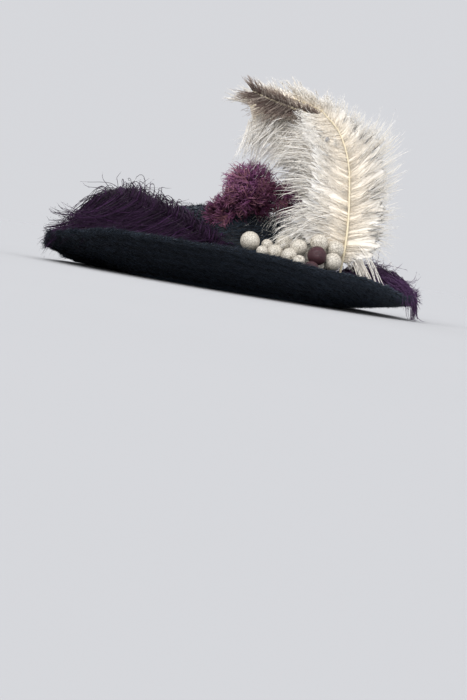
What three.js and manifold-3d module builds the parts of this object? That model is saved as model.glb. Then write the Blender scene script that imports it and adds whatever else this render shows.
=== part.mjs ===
import * as THREE from 'three';
import { mergeVertices } from 'three/addons/utils/BufferGeometryUtils.js';
import Module from 'manifold-3d';

// A wide picture hat of long-napped black plush, trimmed with ostrich plumes, berries and a crystal.
// Millimetres, +Z up. The front of the hat points to -Y and the wearer's left side to +X.
// A place on the hat is given by its turn, the angle round the head from +X towards +Y in degrees,
// and its reach, 0 at the head opening and 1 at the rim.

const wasm = await Module();
wasm.setup();

// Head opening
const headLength = 196;
const headWidth = 162;

// Brim widths, measured out from the head opening
const brimFront = 98;
const brimBack = 88;
const brimSide = 111;
const brimThick = 3;
const rimRise = 39;
const brimArch = 8;
const collarWidth = 8;

// Crown
const crownHeight = 80;
const crownWall = 3;

// Clearance between pieces that touch
const gap = 0.3;

// Plumes: height above the brim, length of the barbs and radius of the quill
const frontHeight = 64;
const frontBarb = 52;
const backHeight = 30;
const backBarb = 46;
const tallHeight = 204;
const tallBarb = 56;
const curlHeight = 212;
const curlBarb = 60;
const taupeHeight = curlHeight + 2;
const taupeBarb = 34;
const quillRadius = 2.2;
const barbEdge = 0.9;
const bendLimit = 0.75;
const bendStep = 0.06;

// Round curled tip
const tipHeight = 99;
const tipRadius = 31;
const tipNotch = 24;

// Berries, their wired stem and the crystal
const berryDiameter = 18;
const berryHeight = 40;
const stemRadius = 2.6;
const twigRadius = 1.3;
const crystalWidth = 6;

// Rim height round the brim, as shares of rimRise; the far side lies flat on what the hat stands on
const rimRows = [
  { turn: -150, lift: 0 },
  { turn: -115, lift: 0.36 },
  { turn: -90, lift: 0.7 },
  { turn: -55, lift: 0.99 },
  { turn: -20, lift: 1 },
  { turn: 15, lift: 0.82 },
  { turn: 50, lift: 0.5 },
  { turn: 90, lift: 0.33 },
  { turn: 125, lift: 0.08 },
  { turn: 160, lift: 0 },
];

// Crown profile from its foot to its top: up in shares of crownHeight, out in shares of the radius
const crownRows = [
  { up: 0, out: 1 },
  { up: 0.3, out: 0.985 },
  { up: 0.56, out: 0.95 },
  { up: 0.76, out: 0.86 },
  { up: 0.89, out: 0.7 },
  { up: 0.97, out: 0.45 },
  { up: 1, out: 0.16 },
];

// Spines of the plumes from root to tip: rise in shares of the plume's height above the brim
const frontSpine = [
  { turn: -22, reach: 0.14, rise: 0 },
  { turn: -34, reach: 0.17, rise: 0.55 },
  { turn: -49.5, reach: 0.2, rise: 0.76 },
  { turn: -70.5, reach: 0.24, rise: 0.92 },
  { turn: -88, reach: 0.37, rise: 0.95 },
  { turn: -98.5, reach: 0.51, rise: 0.84 },
  { turn: -105, reach: 0.61, rise: 0.66 },
];
const backSpine = [
  { turn: 34, reach: 0.12, rise: 0 },
  { turn: 38, reach: 0.3, rise: 0.75 },
  { turn: 44, reach: 0.52, rise: 1 },
  { turn: 52, reach: 0.73, rise: 0.84 },
  { turn: 58.5, reach: 0.91, rise: 0.42 },
];
const tallSpine = [
  { turn: 30.5, reach: 0.41, rise: 0 },
  { turn: 29.5, reach: 0.45, rise: 0.28 },
  { turn: 29, reach: 0.41, rise: 0.48 },
  { turn: 27, reach: 0.35, rise: 0.67 },
  { turn: 23.5, reach: 0.23, rise: 0.82 },
  { turn: 16.5, reach: 0.12, rise: 0.91 },
];
const curlSpine = [
  { turn: 42, reach: 0.12, rise: 0 },
  { turn: 42.5, reach: 0.14, rise: 0.5 },
  { turn: 41.5, reach: 0.11, rise: 0.73 },
  { turn: 34.5, reach: -0.01, rise: 0.86 },
  { turn: 15.5, reach: -0.14, rise: 0.92 },
  { turn: -7, reach: -0.2, rise: 0.925 },
  { turn: -26, reach: -0.22, rise: 0.86 },
];
const taupeSpine = [
  { turn: 26.5, reach: -0.01, rise: 0.84 },
  { turn: 16.5, reach: -0.01, rise: 0.855 },
  { turn: 3, reach: -0.03, rise: 0.87 },
  { turn: -15, reach: -0.04, rise: 0.895 },
  { turn: -25, reach: -0.035, rise: 0.915 },
];

// Vanes: barb length left and right of the quill and the fall of its tip, in shares of the plume's
// barb, and the sweep of the barbs towards the plume's tip in degrees, for rows from root to tip
const frontVane = [
  { at: 0.12, left: 0.55, right: 0.5, sweep: 40, fall: 0.25 },
  { at: 0.4, left: 0.85, right: 0.75, sweep: 36, fall: 0.25 },
  { at: 0.7, left: 0.95, right: 0.9, sweep: 36, fall: 0.15 },
  { at: 1, left: 0.75, right: 0.7, sweep: 70, fall: 0.05 },
];
const backVane = [
  { at: 0.15, left: 0.55, right: 0.5, sweep: 40, fall: 0.15 },
  { at: 0.6, left: 0.85, right: 0.8, sweep: 38, fall: 0.25 },
  { at: 1, left: 0.45, right: 0.5, sweep: 60, fall: 0.4 },
];
const tallVane = [
  { at: 0.14, left: 0.75, right: 0.75, sweep: 20, fall: 0.65 },
  { at: 0.35, left: 0.85, right: 0.85, sweep: 30, fall: 0.3 },
  { at: 0.65, left: 0.8, right: 0.9, sweep: 38, fall: 0 },
  { at: 0.85, left: 0.65, right: 0.45, sweep: 30, fall: 0 },
  { at: 1, left: 0.4, right: 0.3, sweep: 40, fall: 0 },
];
const curlVane = [
  { at: 0.2, left: 0.6, right: 0.6, sweep: 32, fall: 0 },
  { at: 0.42, left: 1.1, right: 0.6, sweep: 22, fall: 0.3 },
  { at: 0.65, left: 1.2, right: 0.3, sweep: 24, fall: 0.7 },
  { at: 0.8, left: 1, right: 0.28, sweep: 44, fall: 0.2 },
  { at: 0.9, left: 0.9, right: 0.32, sweep: 38, fall: 0.1 },
  { at: 1, left: 0.7, right: 0.35, sweep: 15, fall: 0.1 },
];
const taupeVane = [
  { at: 0.1, left: 0.3, right: 0.3, sweep: 40, fall: 0.2 },
  { at: 0.4, left: 0.45, right: 0.4, sweep: 40, fall: 0.2 },
  { at: 0.65, left: 0.95, right: 0.5, sweep: 44, fall: 0.2 },
  { at: 1, left: 0.75, right: 0.5, sweep: 60, fall: 0 },
];

// Berries round the cluster's middle, in berry diameters along X, Y and Z, with their size
const clusterTurn = 9;
const clusterReach = 0.33;
const berryRows = [
  { name: 'berry_front', x: -0.94, y: -2.63, z: 0.11, size: 1.08 },
  { name: 'berry_front_small', x: -0.89, y: -1.62, z: 0.05, size: 0.66 },
  { name: 'berry_front_low', x: 0.17, y: -2.29, z: -0.35, size: 0.66 },
  { name: 'berry_second', x: -0.08, y: -1.45, z: -0.32, size: 0.95 },
  { name: 'berry_third', x: 0.72, y: -0.92, z: -0.35, size: 0.88 },
  { name: 'berry_third_low', x: 1.59, y: -0.68, z: -0.53, size: 0.66 },
  { name: 'berry_top_front', x: -0.67, y: -0.73, z: 0.26, size: 1 },
  { name: 'berry_top_middle', x: 0.22, y: -0.23, z: 0.17, size: 0.97 },
  { name: 'berry_top_back', x: 0.41, y: 0.85, z: 0.62, size: 1 },
  { name: 'berry_back', x: 0.42, y: 1.85, z: 0.42, size: 0.98 },
  { name: 'berry_back_low', x: 1.16, y: 1.48, z: -0.28, size: 1 },
  { name: 'plum_berry', x: 1.3, y: 0.45, z: -0.1, size: 1.04 },
  { name: 'plum_berry_low', x: 1.76, y: 0.02, z: -0.84, size: 0.84 },
];

// Middle of the round curled tip, over the crown's shoulder
const tipPlace = { turn: -14.5, reach: -0.18 };

// Course of the wired stem along the brim
const stemReach = 0.2;
const stemTurns = [-26, -14, -2, 10, 22];

// Place of the crystal on the tall plume: along its quill, and towards its left barb tips
const crystalPlace = { share: 0.8, hand: 0.62 };

// Facets
const brimSegments = 44;
const crownSegments = 30;
const berrySides = 10;
const tipLocksAround = 20;
const tipLockRings = 12;
const notchShare = 0.74;

// Reaches where the brim changes slope: it is level over the collar, and beyond the rest reach it
// lies flat again on the far side
const collarReach = collarWidth / brimSide;
const restReach = 0.86;
const brimReaches = [0, collarReach, 0.28, 0.48, 0.68, restReach, 1];

// Value of a named column at a place, eased smoothly between the rows of a table
function columnAt(rows, key, place, column) {
  const last = rows.length - 1;
  const next = Math.min(Math.max(rows.findIndex((row) => row[key] > place), 1), last);
  const index = place >= rows[last][key] ? last : next;
  const from = rows[index - 1];
  const to = rows[index];
  const share = THREE.MathUtils.smoothstep(place, from[key], to[key]);
  return THREE.MathUtils.lerp(from[column], to[column], share);
}

function rimLift(turn) {
  const first = rimRows[0].turn;
  const wrapped = THREE.MathUtils.euclideanModulo(turn - first, 360) + first;
  return columnAt([...rimRows, { turn: first + 360, lift: rimRows[0].lift }], 'turn', wrapped, 'lift');
}

// Horizontal place on the hat: the oval of the head opening eases out to the oval of the rim
function planPoint(turn, reach, wall = 0) {
  const angle = THREE.MathUtils.degToRad(turn);
  const brimHalf = (headLength + brimFront + brimBack) / 2;
  const forward = (brimFront - brimBack) / 2;
  const inner = new THREE.Vector2(
    (headWidth / 2 + wall) * Math.cos(angle),
    (headLength / 2 + wall) * Math.sin(angle),
  );
  const outer = new THREE.Vector2(
    (headWidth / 2 + brimSide + wall) * Math.cos(angle),
    (brimHalf + wall) * Math.sin(angle) - forward,
  );
  return inner.lerp(outer, reach);
}

// Height of the brim's underside: turned up by the rim rows, arched where the rim lies flat
function underHeight(turn, reach) {
  const lift = rimLift(turn);
  const slope = Math.max(0, (reach - collarReach) / (1 - collarReach));
  const span = THREE.MathUtils.clamp((reach - collarReach) / (restReach - collarReach), 0, 1);
  const flat = Math.max(0, 1 - 3 * lift) ** 2;
  return rimRise * lift * slope ** 1.15 + brimArch * flat * Math.sin(Math.PI * span);
}

// A point over the brim's upper side; rise is in millimetres
function overBrim(turn, reach, rise) {
  const plan = planPoint(turn, reach);
  const seat = underHeight(turn, THREE.MathUtils.clamp(reach, 0, 1)) + brimThick;
  return new THREE.Vector3(plan.x, plan.y, seat + rise);
}

function directionOf(turn, tilt) {
  const level = Math.cos(THREE.MathUtils.degToRad(tilt));
  const angle = THREE.MathUtils.degToRad(turn);
  return new THREE.Vector3(
    level * Math.cos(angle),
    level * Math.sin(angle),
    Math.sin(THREE.MathUtils.degToRad(tilt)),
  );
}

// A closed geometry as a solid that can be joined and cut
function solidOf(geometry) {
  geometry.deleteAttribute('normal');
  geometry.deleteAttribute('uv');
  const merged = mergeVertices(geometry, 1e-4);
  return new wasm.Manifold(
    new wasm.Mesh({
      numProp: 3,
      vertProperties: merged.attributes.position.array,
      triVerts: new Uint32Array(merged.index.array),
    }),
  );
}

// A solid cut clear of others, as one body: scraps that the cut leaves loose fall away
function trimmed(solid, cutters) {
  const cut = solid.subtract(wasm.Manifold.union(cutters)).simplify(gap / 6);
  const bodies = cut.decompose();
  return bodies.reduce((most, body) => (body.volume() > most.volume() ? body : most));
}

function geometryOf(solid) {
  const mesh = solid.getMesh();
  const geometry = new THREE.BufferGeometry();
  geometry.setAttribute('position', new THREE.BufferAttribute(mesh.vertProperties, 3));
  geometry.setIndex(new THREE.BufferAttribute(mesh.triVerts, 1));
  return geometry;
}

// Moves each vertex of a geometry to where a function puts it
function shaped(geometry, place) {
  const positions = geometry.attributes.position;
  const vertex = new THREE.Vector3();
  for (let index = 0; index < positions.count; index += 1) {
    vertex.fromBufferAttribute(positions, index);
    const moved = place(vertex);
    positions.setXYZ(index, moved.x, moved.y, moved.z);
  }
  return geometry;
}

function turnOf(vertex) {
  return THREE.MathUtils.radToDeg(Math.atan2(vertex.y, vertex.x));
}

// The brim is a ring turned from its section, then shaped to the ovals and the turned-up rim.
// In the ring the radius is 1 + reach, and the height is 0 underneath and 1 on top.
function brimSolid(grow = 0) {
  const under = brimReaches.map((reach) => new THREE.Vector2(1 + reach, 0));
  const top = brimReaches.map((reach) => new THREE.Vector2(1 + reach, 1)).reverse();
  const ring = new THREE.LatheGeometry([...under, ...top, under[0]], brimSegments);
  ring.rotateX(Math.PI / 2);
  return solidOf(shaped(ring, (vertex) => {
    const turn = turnOf(vertex);
    const reach = Math.hypot(vertex.x, vertex.y) - 1;
    const edge = THREE.MathUtils.lerp(-grow, grow, reach);
    const plan = planPoint(turn, reach, edge);
    const under = underHeight(turn, reach);
    return new THREE.Vector3(plan.x, plan.y, vertex.z > 0.5 ? under + brimThick + grow : under - grow);
  }));
}

// The crown is a dome turned from its profile and shaped to the oval; it stands on the brim's collar
function crownSolid(grow = 0) {
  const foot = brimThick + gap;
  const outside = crownRows.map((row) => new THREE.Vector2(row.out, row.up));
  const profile = [new THREE.Vector2(0, 0), ...outside, new THREE.Vector2(0, 1)];
  const ring = new THREE.LatheGeometry(profile, crownSegments);
  ring.rotateX(Math.PI / 2);
  const dome = (wall, height, low) => solidOf(shaped(ring.clone(), (vertex) => {
    const turn = turnOf(vertex);
    const out = Math.hypot(vertex.x, vertex.y);
    const plan = planPoint(turn, 0, wall).multiplyScalar(out);
    return new THREE.Vector3(plan.x, plan.y, low + vertex.z * (height - low));
  }));
  const outer = dome(crownWall + grow, foot + crownHeight + grow, foot - grow);
  if (grow > 0) {
    return outer;
  }
  return outer.subtract(dome(0, foot + crownHeight - crownWall, -1));
}

// A round body along a curve, of one radius
function rodSolid(curve, facing, radius, sides, rows) {
  const body = new THREE.CylinderGeometry(1, 1, 1, sides, rows);
  return solidOf(shaped(body, (vertex) => {
    const share = vertex.y + 0.5;
    const tangent = curve.getTangent(share);
    const across = new THREE.Vector3().crossVectors(tangent, facing).normalize();
    const normal = new THREE.Vector3().crossVectors(across, tangent);
    return curve.getPoint(share)
      .addScaledVector(across, vertex.x * radius)
      .addScaledVector(normal, vertex.z * radius);
  }));
}

// Places a point of a plume: share runs along the quill from root to tip, hand from -1 at the
// right barb tips to 1 at the left ones, and face is 1 on the vane's outer face and -1 behind it.
// facing is the turn that the vane looks to and its tilt above the level, cup how far the barb tips
// turn to the face, and bulk half the depth of the barbs beside the quill, both in shares of the
// barb. The barbs hang together in locks, each a long tongue beside a notch, and inside a bend they
// stop short of its centre.
function vanePlacer({ spine, vane, height, barb, locks, facing, cup, bulk }, grow = 0) {
  const points = spine.map((row) => overBrim(row.turn, row.reach, row.rise * height));
  const curve = new THREE.CatmullRomCurve3(points, false, 'centripetal');
  const quillLength = curve.getLength();
  const bendAt = (share) => {
    const from = Math.max(share - bendStep, 0);
    const to = Math.min(share + bendStep, 1);
    return curve.getTangentAt(to).sub(curve.getTangentAt(from)).divideScalar((to - from) * quillLength);
  };
  return (share, hand, face) => {
    const out = Math.abs(hand);
    const isTongue = Math.round(share * 2 * locks) % 2 === 0;
    const isBare = share < vane[0].at;
    const tangent = curve.getTangentAt(share);
    const root = curve.getPointAt(share).addScaledVector(tangent, grow * (2 * share - 1));
    const normal = directionOf(facing.turn, facing.tilt);
    normal.addScaledVector(tangent, -tangent.dot(normal)).normalize();
    const side = new THREE.Vector3().crossVectors(normal, tangent);
    const longest = isBare ? quillRadius : barb * columnAt(vane, 'at', share, hand > 0 ? 'left' : 'right');
    const length = longest * (isTongue || isBare ? 1 : notchShare) + grow;
    const drop = isBare ? 0 : longest * columnAt(vane, 'at', share, 'fall') * out ** 2;
    const angle = THREE.MathUtils.degToRad(isBare ? 0 : columnAt(vane, 'at', share, 'sweep'));
    const inward = Math.max(bendAt(share).dot(side) * Math.sign(hand), 1e-4);
    const width = Math.min(length * Math.cos(angle), bendLimit / inward);
    const body = isBare ? quillRadius : bulk * barb * (isTongue ? 1 : notchShare);
    const thick = THREE.MathUtils.lerp(body, Math.min(body, barbEdge), out ** 1.4) + grow;
    return root.addScaledVector(side, hand * width)
      .addScaledVector(tangent, out * length * Math.sin(angle))
      .addScaledVector(normal, cup * length * out ** 2 + face * thick)
      .add(new THREE.Vector3(0, 0, -drop));
  };
}

// A plume is a block laid along its quill and shaped by its vane
function plumeSolid(plume, grow = 0) {
  const place = vanePlacer(plume, grow);
  const block = new THREE.BoxGeometry(1, 1, 1, 2 * plume.locks, 6, 1);
  return solidOf(shaped(block, ({ x, y, z }) => place(x + 0.5, y * 2, Math.sign(z))));
}

// The round curled tip: a ball on the crown's shoulder whose short locks stand out all over it
function curledTipSolid(grow = 0) {
  const centre = overBrim(tipPlace.turn, tipPlace.reach, tipHeight);
  const ball = new THREE.SphereGeometry(1, tipLocksAround, tipLockRings);
  return solidOf(shaped(ball, (vertex) => {
    const column = Math.round((Math.atan2(vertex.z, vertex.x) / (2 * Math.PI)) * tipLocksAround);
    const row = Math.round((Math.acos(THREE.MathUtils.clamp(vertex.y, -1, 1)) / Math.PI) * tipLockRings);
    const isLock = (column + row) % 2 === 0 || row === 0 || row === tipLockRings;
    const wave = 1 + 0.08 * Math.sin(5 * vertex.x + 3 * vertex.y) * Math.cos(4 * vertex.z);
    return centre.clone().addScaledVector(vertex, (isLock ? tipRadius : tipNotch) * wave + grow);
  }));
}

function berryCentre(row) {
  const middle = overBrim(clusterTurn, clusterReach, berryHeight);
  return middle.add(new THREE.Vector3(row.x, row.y, row.z).multiplyScalar(berryDiameter));
}

function berrySolid(row, grow = 0) {
  const radius = (berryDiameter * row.size) / 2 + grow;
  const ball = new THREE.SphereGeometry(radius, berrySides, berrySides / 2 + 1);
  return solidOf(ball.rotateX(Math.PI / 2).translate(...berryCentre(row).toArray()));
}

// The wired stem lies on the brim against the crown, with a twig up to each berry
function stemSolid(grow = 0) {
  const points = stemTurns.map((turn) => overBrim(turn, stemReach, stemRadius * 0.9));
  const curve = new THREE.CatmullRomCurve3(points);
  const upright = new THREE.Vector3(0, 0, 1);
  const bodies = [rodSolid(curve, upright, stemRadius + grow, 6, 5)];
  for (const row of berryRows) {
    const end = berryCentre(row);
    const nearest = curve.getPoints(24)
      .reduce((best, point) => (point.distanceTo(end) < best.distanceTo(end) ? point : best));
    const twig = new THREE.LineCurve3(nearest, end);
    const facing = new THREE.Vector3().crossVectors(end.clone().sub(nearest), new THREE.Vector3(1, 2, 0));
    bodies.push(rodSolid(twig, facing.normalize(), twigRadius + grow, 4, 1));
  }
  return wasm.Manifold.union(bodies);
}

// The cut stone: a girdle of eight facets with a flat table, set in the face of the tall plume
function crystalSolid(grow = 0) {
  const half = crystalWidth / 2 + grow;
  const table = new THREE.CylinderGeometry(half * 0.6, half, half * 0.45, 8).translate(0, half * 0.22, 0);
  const foot = new THREE.CylinderGeometry(half, half * 0.4, half * 0.7, 8).translate(0, -half * 0.34, 0);
  const seat = vanePlacer(tallPlume)(crystalPlace.share, crystalPlace.hand, 1);
  const outward = new THREE.Vector3(seat.x, seat.y, 0).normalize();
  const turned = new THREE.Quaternion().setFromUnitVectors(new THREE.Vector3(0, 1, 0), outward);
  const halves = [table, foot].map((part) => part.applyQuaternion(turned).translate(...seat.toArray()));
  return wasm.Manifold.union(halves.map(solidOf));
}

const frontPlume = {
  spine: frontSpine, vane: frontVane, height: frontHeight, barb: frontBarb,
  locks: 11, facing: { turn: -35, tilt: 38 }, cup: 0.1, bulk: 0.22,
};
const backPlume = {
  spine: backSpine, vane: backVane, height: backHeight, barb: backBarb,
  locks: 8, facing: { turn: 20, tilt: 70 }, cup: 0.1, bulk: 0.16,
};
const tallPlume = {
  spine: tallSpine, vane: tallVane, height: tallHeight, barb: tallBarb,
  locks: 12, facing: { turn: -20, tilt: 0 }, cup: 0.25, bulk: 0.11,
};
const curlPlume = {
  spine: curlSpine, vane: curlVane, height: curlHeight, barb: curlBarb,
  locks: 13, facing: { turn: -25, tilt: 12 }, cup: 0.1, bulk: 0.13,
};
const taupePlume = {
  spine: taupeSpine, vane: taupeVane, height: taupeHeight, barb: taupeBarb,
  locks: 7, facing: { turn: -20, tilt: 10 }, cup: 0.15, bulk: 0.2,
};

const finishes = {
  plush: { color: 0x0e141b, roughness: 0.9 },
  aubergine: { color: 0x2a1232, roughness: 0.85 },
  mauve: { color: 0x6a3560, roughness: 0.85 },
  cream: { color: 0xefe6d8, roughness: 0.8 },
  taupe: { color: 0x5a4640, roughness: 0.85 },
  pearl: { color: 0xd8d3cb, roughness: 0.35 },
  plum: { color: 0x4d2330, roughness: 0.4 },
  stem: { color: 0x1b2016, roughness: 0.8 },
  glass: { color: 0xf4f8fb, roughness: 0.05 },
};

const hat = new THREE.Group();

function addPiece(name, solid, finish) {
  const material = new THREE.MeshStandardMaterial({ ...finishes[finish], metalness: 0 });
  const mesh = new THREE.Mesh(geometryOf(solid), material);
  mesh.name = name;
  hat.add(mesh);
}

// Each piece is cut clear of the pieces before it, which stand in the way of those after it
const inTheWay = [brimSolid(gap), crownSolid(gap)];
addPiece('brim', brimSolid(), 'plush');
addPiece('crown', crownSolid(), 'plush');

for (const row of berryRows) {
  addPiece(row.name, berrySolid(row), row.name.startsWith('plum') ? 'plum' : 'pearl');
  inTheWay.push(berrySolid(row, gap));
}

function addTrim(name, make, finish) {
  addPiece(name, trimmed(make(0), inTheWay), finish);
  inTheWay.push(make(2 * gap));
}

addTrim('crystal', crystalSolid, 'glass');
addTrim('berry_stem', stemSolid, 'stem');
addTrim('mauve_tip', curledTipSolid, 'mauve');
addTrim('front_plume', (grow) => plumeSolid(frontPlume, grow), 'aubergine');
addTrim('back_plume', (grow) => plumeSolid(backPlume, grow), 'aubergine');
addTrim('cream_plume_back', (grow) => plumeSolid(tallPlume, grow), 'cream');
addTrim('cream_plume_front', (grow) => plumeSolid(curlPlume, grow), 'cream');
addTrim('taupe_tip', (grow) => plumeSolid(taupePlume, grow), 'taupe');

// The hat's own frame has its origin under the middle of its box
const box = new THREE.Box3().setFromObject(hat);
hat.position.set(-(box.min.x + box.max.x) / 2, -(box.min.y + box.max.y) / 2, -box.min.z);

export default hat;
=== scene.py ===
"""A picture hat of long-napped black plush with ostrich plumes, a curled mauve tip and satin berries.

The hat stands on a pale floor with +Z up, its front towards -Y and its trimming on the wearer's left,
+X. All lengths are in metres.
"""

import logging
import math
from dataclasses import dataclass, field
from enum import Enum
from functools import cached_property

import bmesh
import bpy
import numpy as np
from bmesh.types import BMEdge, BMesh, BMVert
from bpy.types import Material, Mesh, Node, NodeSocket
from mathutils import Matrix, Vector
from numpy.random import Generator, default_rng


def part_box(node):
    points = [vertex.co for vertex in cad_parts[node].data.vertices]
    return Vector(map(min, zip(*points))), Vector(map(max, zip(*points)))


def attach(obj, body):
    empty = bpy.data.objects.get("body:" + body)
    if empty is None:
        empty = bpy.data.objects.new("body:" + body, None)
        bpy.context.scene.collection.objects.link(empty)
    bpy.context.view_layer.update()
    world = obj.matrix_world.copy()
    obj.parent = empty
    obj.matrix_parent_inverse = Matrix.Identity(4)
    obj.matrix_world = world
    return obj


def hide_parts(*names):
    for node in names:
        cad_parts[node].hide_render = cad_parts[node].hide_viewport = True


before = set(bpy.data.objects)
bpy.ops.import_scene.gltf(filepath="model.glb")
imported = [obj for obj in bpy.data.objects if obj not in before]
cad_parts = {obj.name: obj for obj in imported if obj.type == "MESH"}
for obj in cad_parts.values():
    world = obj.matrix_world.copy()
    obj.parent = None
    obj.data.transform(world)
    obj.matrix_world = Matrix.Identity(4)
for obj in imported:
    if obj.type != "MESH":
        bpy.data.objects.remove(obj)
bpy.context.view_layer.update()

logging.basicConfig(level=logging.INFO, format="%(name)s: %(message)s")
log = logging.getLogger("picture_hat")

Array = np.ndarray
Rows = tuple[tuple[float, ...], ...]
UP = np.array([0.0, 0.0, 1.0])

# The photograph's direction, in degrees from the wearer's left towards the back.
VIEW_TURN = -22.0


class Hand(Enum):
    """The side of a quill that a barb grows on, seen from the face of its plume."""

    LEFT = 1
    RIGHT = -1

    @property
    def place(self) -> int:
        """Which of a pair of values, left and right, is its own."""
        return 0 if self is Hand.LEFT else 1


class Side(Enum):
    """The side of the brim that a nap covers, as the sign of its outward normal along Z."""

    UNDER = -1
    TOP = 1


def unit(vectors: Array) -> Array:
    """Vectors of length one along the last axis."""
    return vectors / np.maximum(np.linalg.norm(vectors, axis=-1, keepdims=True), 1e-12)


def eased(rows: Rows, column: int, place: Array) -> Array:
    """Reads a column of a table, eased smoothly between its rows.

    Args:
        rows: The table, whose first column is the place.
        column: The column to read.
        place: Where to read it.

    Returns:
        The values at those places.
    """
    table = np.array(rows, float)
    keys = table[:, 0]
    after = np.clip(np.searchsorted(keys, place, side="right"), 1, len(keys) - 1)
    share = np.clip((place - keys[after - 1]) / (keys[after] - keys[after - 1]), 0, 1)
    share = share * share * (3 - 2 * share)
    return table[after - 1, column] + (table[after, column] - table[after - 1, column]) * share


def turned(vectors: Array, axes: Array, angles: Array) -> Array:
    """Turns vectors about axes of length one.

    Args:
        vectors: The vectors, along the last axis of the array.
        axes: One axis for each vector.
        angles: One angle for each vector, in radians.

    Returns:
        The turned vectors.
    """
    cosine, sine = np.cos(angles)[..., None], np.sin(angles)[..., None]
    along = np.sum(vectors * axes, axis=-1, keepdims=True) * axes
    return vectors * cosine + np.cross(axes, vectors) * sine + along * (1 - cosine)


class Value:
    """A number in a shader, so that its maths can be written as an expression."""

    def __init__(self, recipe: "Recipe", socket: NodeSocket) -> None:
        """Wraps one output socket of a recipe."""
        self.recipe = recipe
        self.socket = socket

    def _maths(self, operation: str, first: object, second: object) -> "Value":
        """Adds a Math node for an operation on two numbers or values."""
        node = self.recipe.node("ShaderNodeMath", {"operation": operation}, {0: first, 1: second})
        return Value(self.recipe, node.outputs[0])

    def __add__(self, other: object) -> "Value":
        """This value plus another."""
        return self._maths("ADD", self, other)

    def __sub__(self, other: object) -> "Value":
        """This value less another."""
        return self._maths("SUBTRACT", self, other)

    def __mul__(self, other: object) -> "Value":
        """This value times another."""
        return self._maths("MULTIPLY", self, other)

    def __pow__(self, other: object) -> "Value":
        """This value to a power."""
        return self._maths("POWER", self, other)

    def __rsub__(self, other: object) -> "Value":
        """A number less this value."""
        return self._maths("SUBTRACT", other, self)

    __radd__ = __add__
    __rmul__ = __mul__


class Recipe:
    """The nodes of one finish, around a Principled BSDF."""

    def __init__(self, name: str, **constants: object) -> None:
        """Makes the material and sets the constants of its shader.

        Args:
            name: The material's name.
            constants: Values for the shader's sockets, with underscores for the spaces in their names.
        """
        self.material = bpy.data.materials.new(name)
        self.material.use_nodes = True
        self.tree = self.material.node_tree
        self.tree.nodes.clear()
        self.shader = self.node("ShaderNodeBsdfPrincipled", {}, {})
        output = self.node("ShaderNodeOutputMaterial", {}, {})
        self.tree.links.new(self.shader.outputs[0], output.inputs["Surface"])
        for key, value in constants.items():
            self.shader.inputs[key.replace("_", " ")].default_value = value

    def node(self, kind: str, settings: dict, inputs: dict) -> Node:
        """Adds a node.

        Args:
            kind: The node's type.
            settings: Its properties, and "stops" for the stops of a ramp, as places and colours.
            inputs: Numbers, values, sockets or colours for its inputs, by name or number.

        Returns:
            The node.
        """
        node = self.tree.nodes.new(kind)
        for key, setting in settings.items():
            if key == "stops":
                ramp = node.color_ramp
                while len(ramp.elements) < len(setting):
                    ramp.elements.new(0.5)
                for element, (place, colour) in zip(ramp.elements, setting):
                    element.position = place
                    element.color = (*colour, 1)
            else:
                setattr(node, key, setting)
        for key, value in inputs.items():
            if isinstance(value, Value):
                self.tree.links.new(value.socket, node.inputs[key])
            elif isinstance(value, NodeSocket):
                self.tree.links.new(value, node.inputs[key])
            else:
                node.inputs[key].default_value = value
        return node

    def attribute(self, name: str) -> Value:
        """Reads a number that the mesh carries at its vertices."""
        node = self.node("ShaderNodeAttribute", {"attribute_name": name}, {})
        return Value(self, node.outputs["Fac"])

    def place(self, scale: tuple[float, float, float] = (1, 1, 1)) -> NodeSocket:
        """Gives the place on the object, stretched by a scale."""
        coordinates = self.node("ShaderNodeTexCoord", {}, {})
        mapping = self.node("ShaderNodeMapping", {}, {0: coordinates.outputs["Object"], "Scale": scale})
        return mapping.outputs[0]

    def noise(self, place: NodeSocket, scale: float, detail: float = 3) -> Value:
        """Gives a cloudy pattern from 0 to 1.

        Args:
            place: Where the pattern is read.
            scale: How fine it is.
            detail: How many finer layers it has.

        Returns:
            The pattern.
        """
        node = self.node("ShaderNodeTexNoise", {}, {"Vector": place, "Scale": scale, "Detail": detail})
        return Value(self, node.outputs[0])

    def mixed(self, share: Value, first: object, second: object) -> NodeSocket:
        """Mixes two colours by a share.

        Args:
            share: How much of the second there is.
            first: A colour or a link.
            second: A colour or a link.

        Returns:
            The mixed colour.
        """
        colours = [(*c, 1) if isinstance(c, tuple) else c for c in (first, second)]
        settings = {"data_type": "RGBA", "clamp_factor": True}
        node = self.node("ShaderNodeMix", settings, {0: share, 6: colours[0], 7: colours[1]})
        return node.outputs[2]

    def ramp(self, share: Value, stops: tuple) -> NodeSocket:
        """Reads a colour off a ramp by a share."""
        return self.node("ShaderNodeValToRGB", {"stops": stops}, {0: share}).outputs[0]

    def wear(self, **sockets: object) -> Material:
        """Links colours and values to the shader's sockets.

        Args:
            sockets: What feeds each socket, with underscores for the spaces in its name.

        Returns:
            The material.
        """
        for key, value in sockets.items():
            socket = value.socket if isinstance(value, Value) else value
            self.tree.links.new(socket, self.shader.inputs[key.replace("_", " ")])
        return self.material

    def bump(self, height: Value, depth: float) -> NodeSocket:
        """Turns a height into a bumped normal.

        Args:
            height: The height, from 0 to 1.
            depth: How deep that is, in metres.

        Returns:
            The normal.
        """
        node = self.node("ShaderNodeBump", {}, {"Strength": 1.0, "Distance": depth, "Height": height})
        return node.outputs[0]


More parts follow.
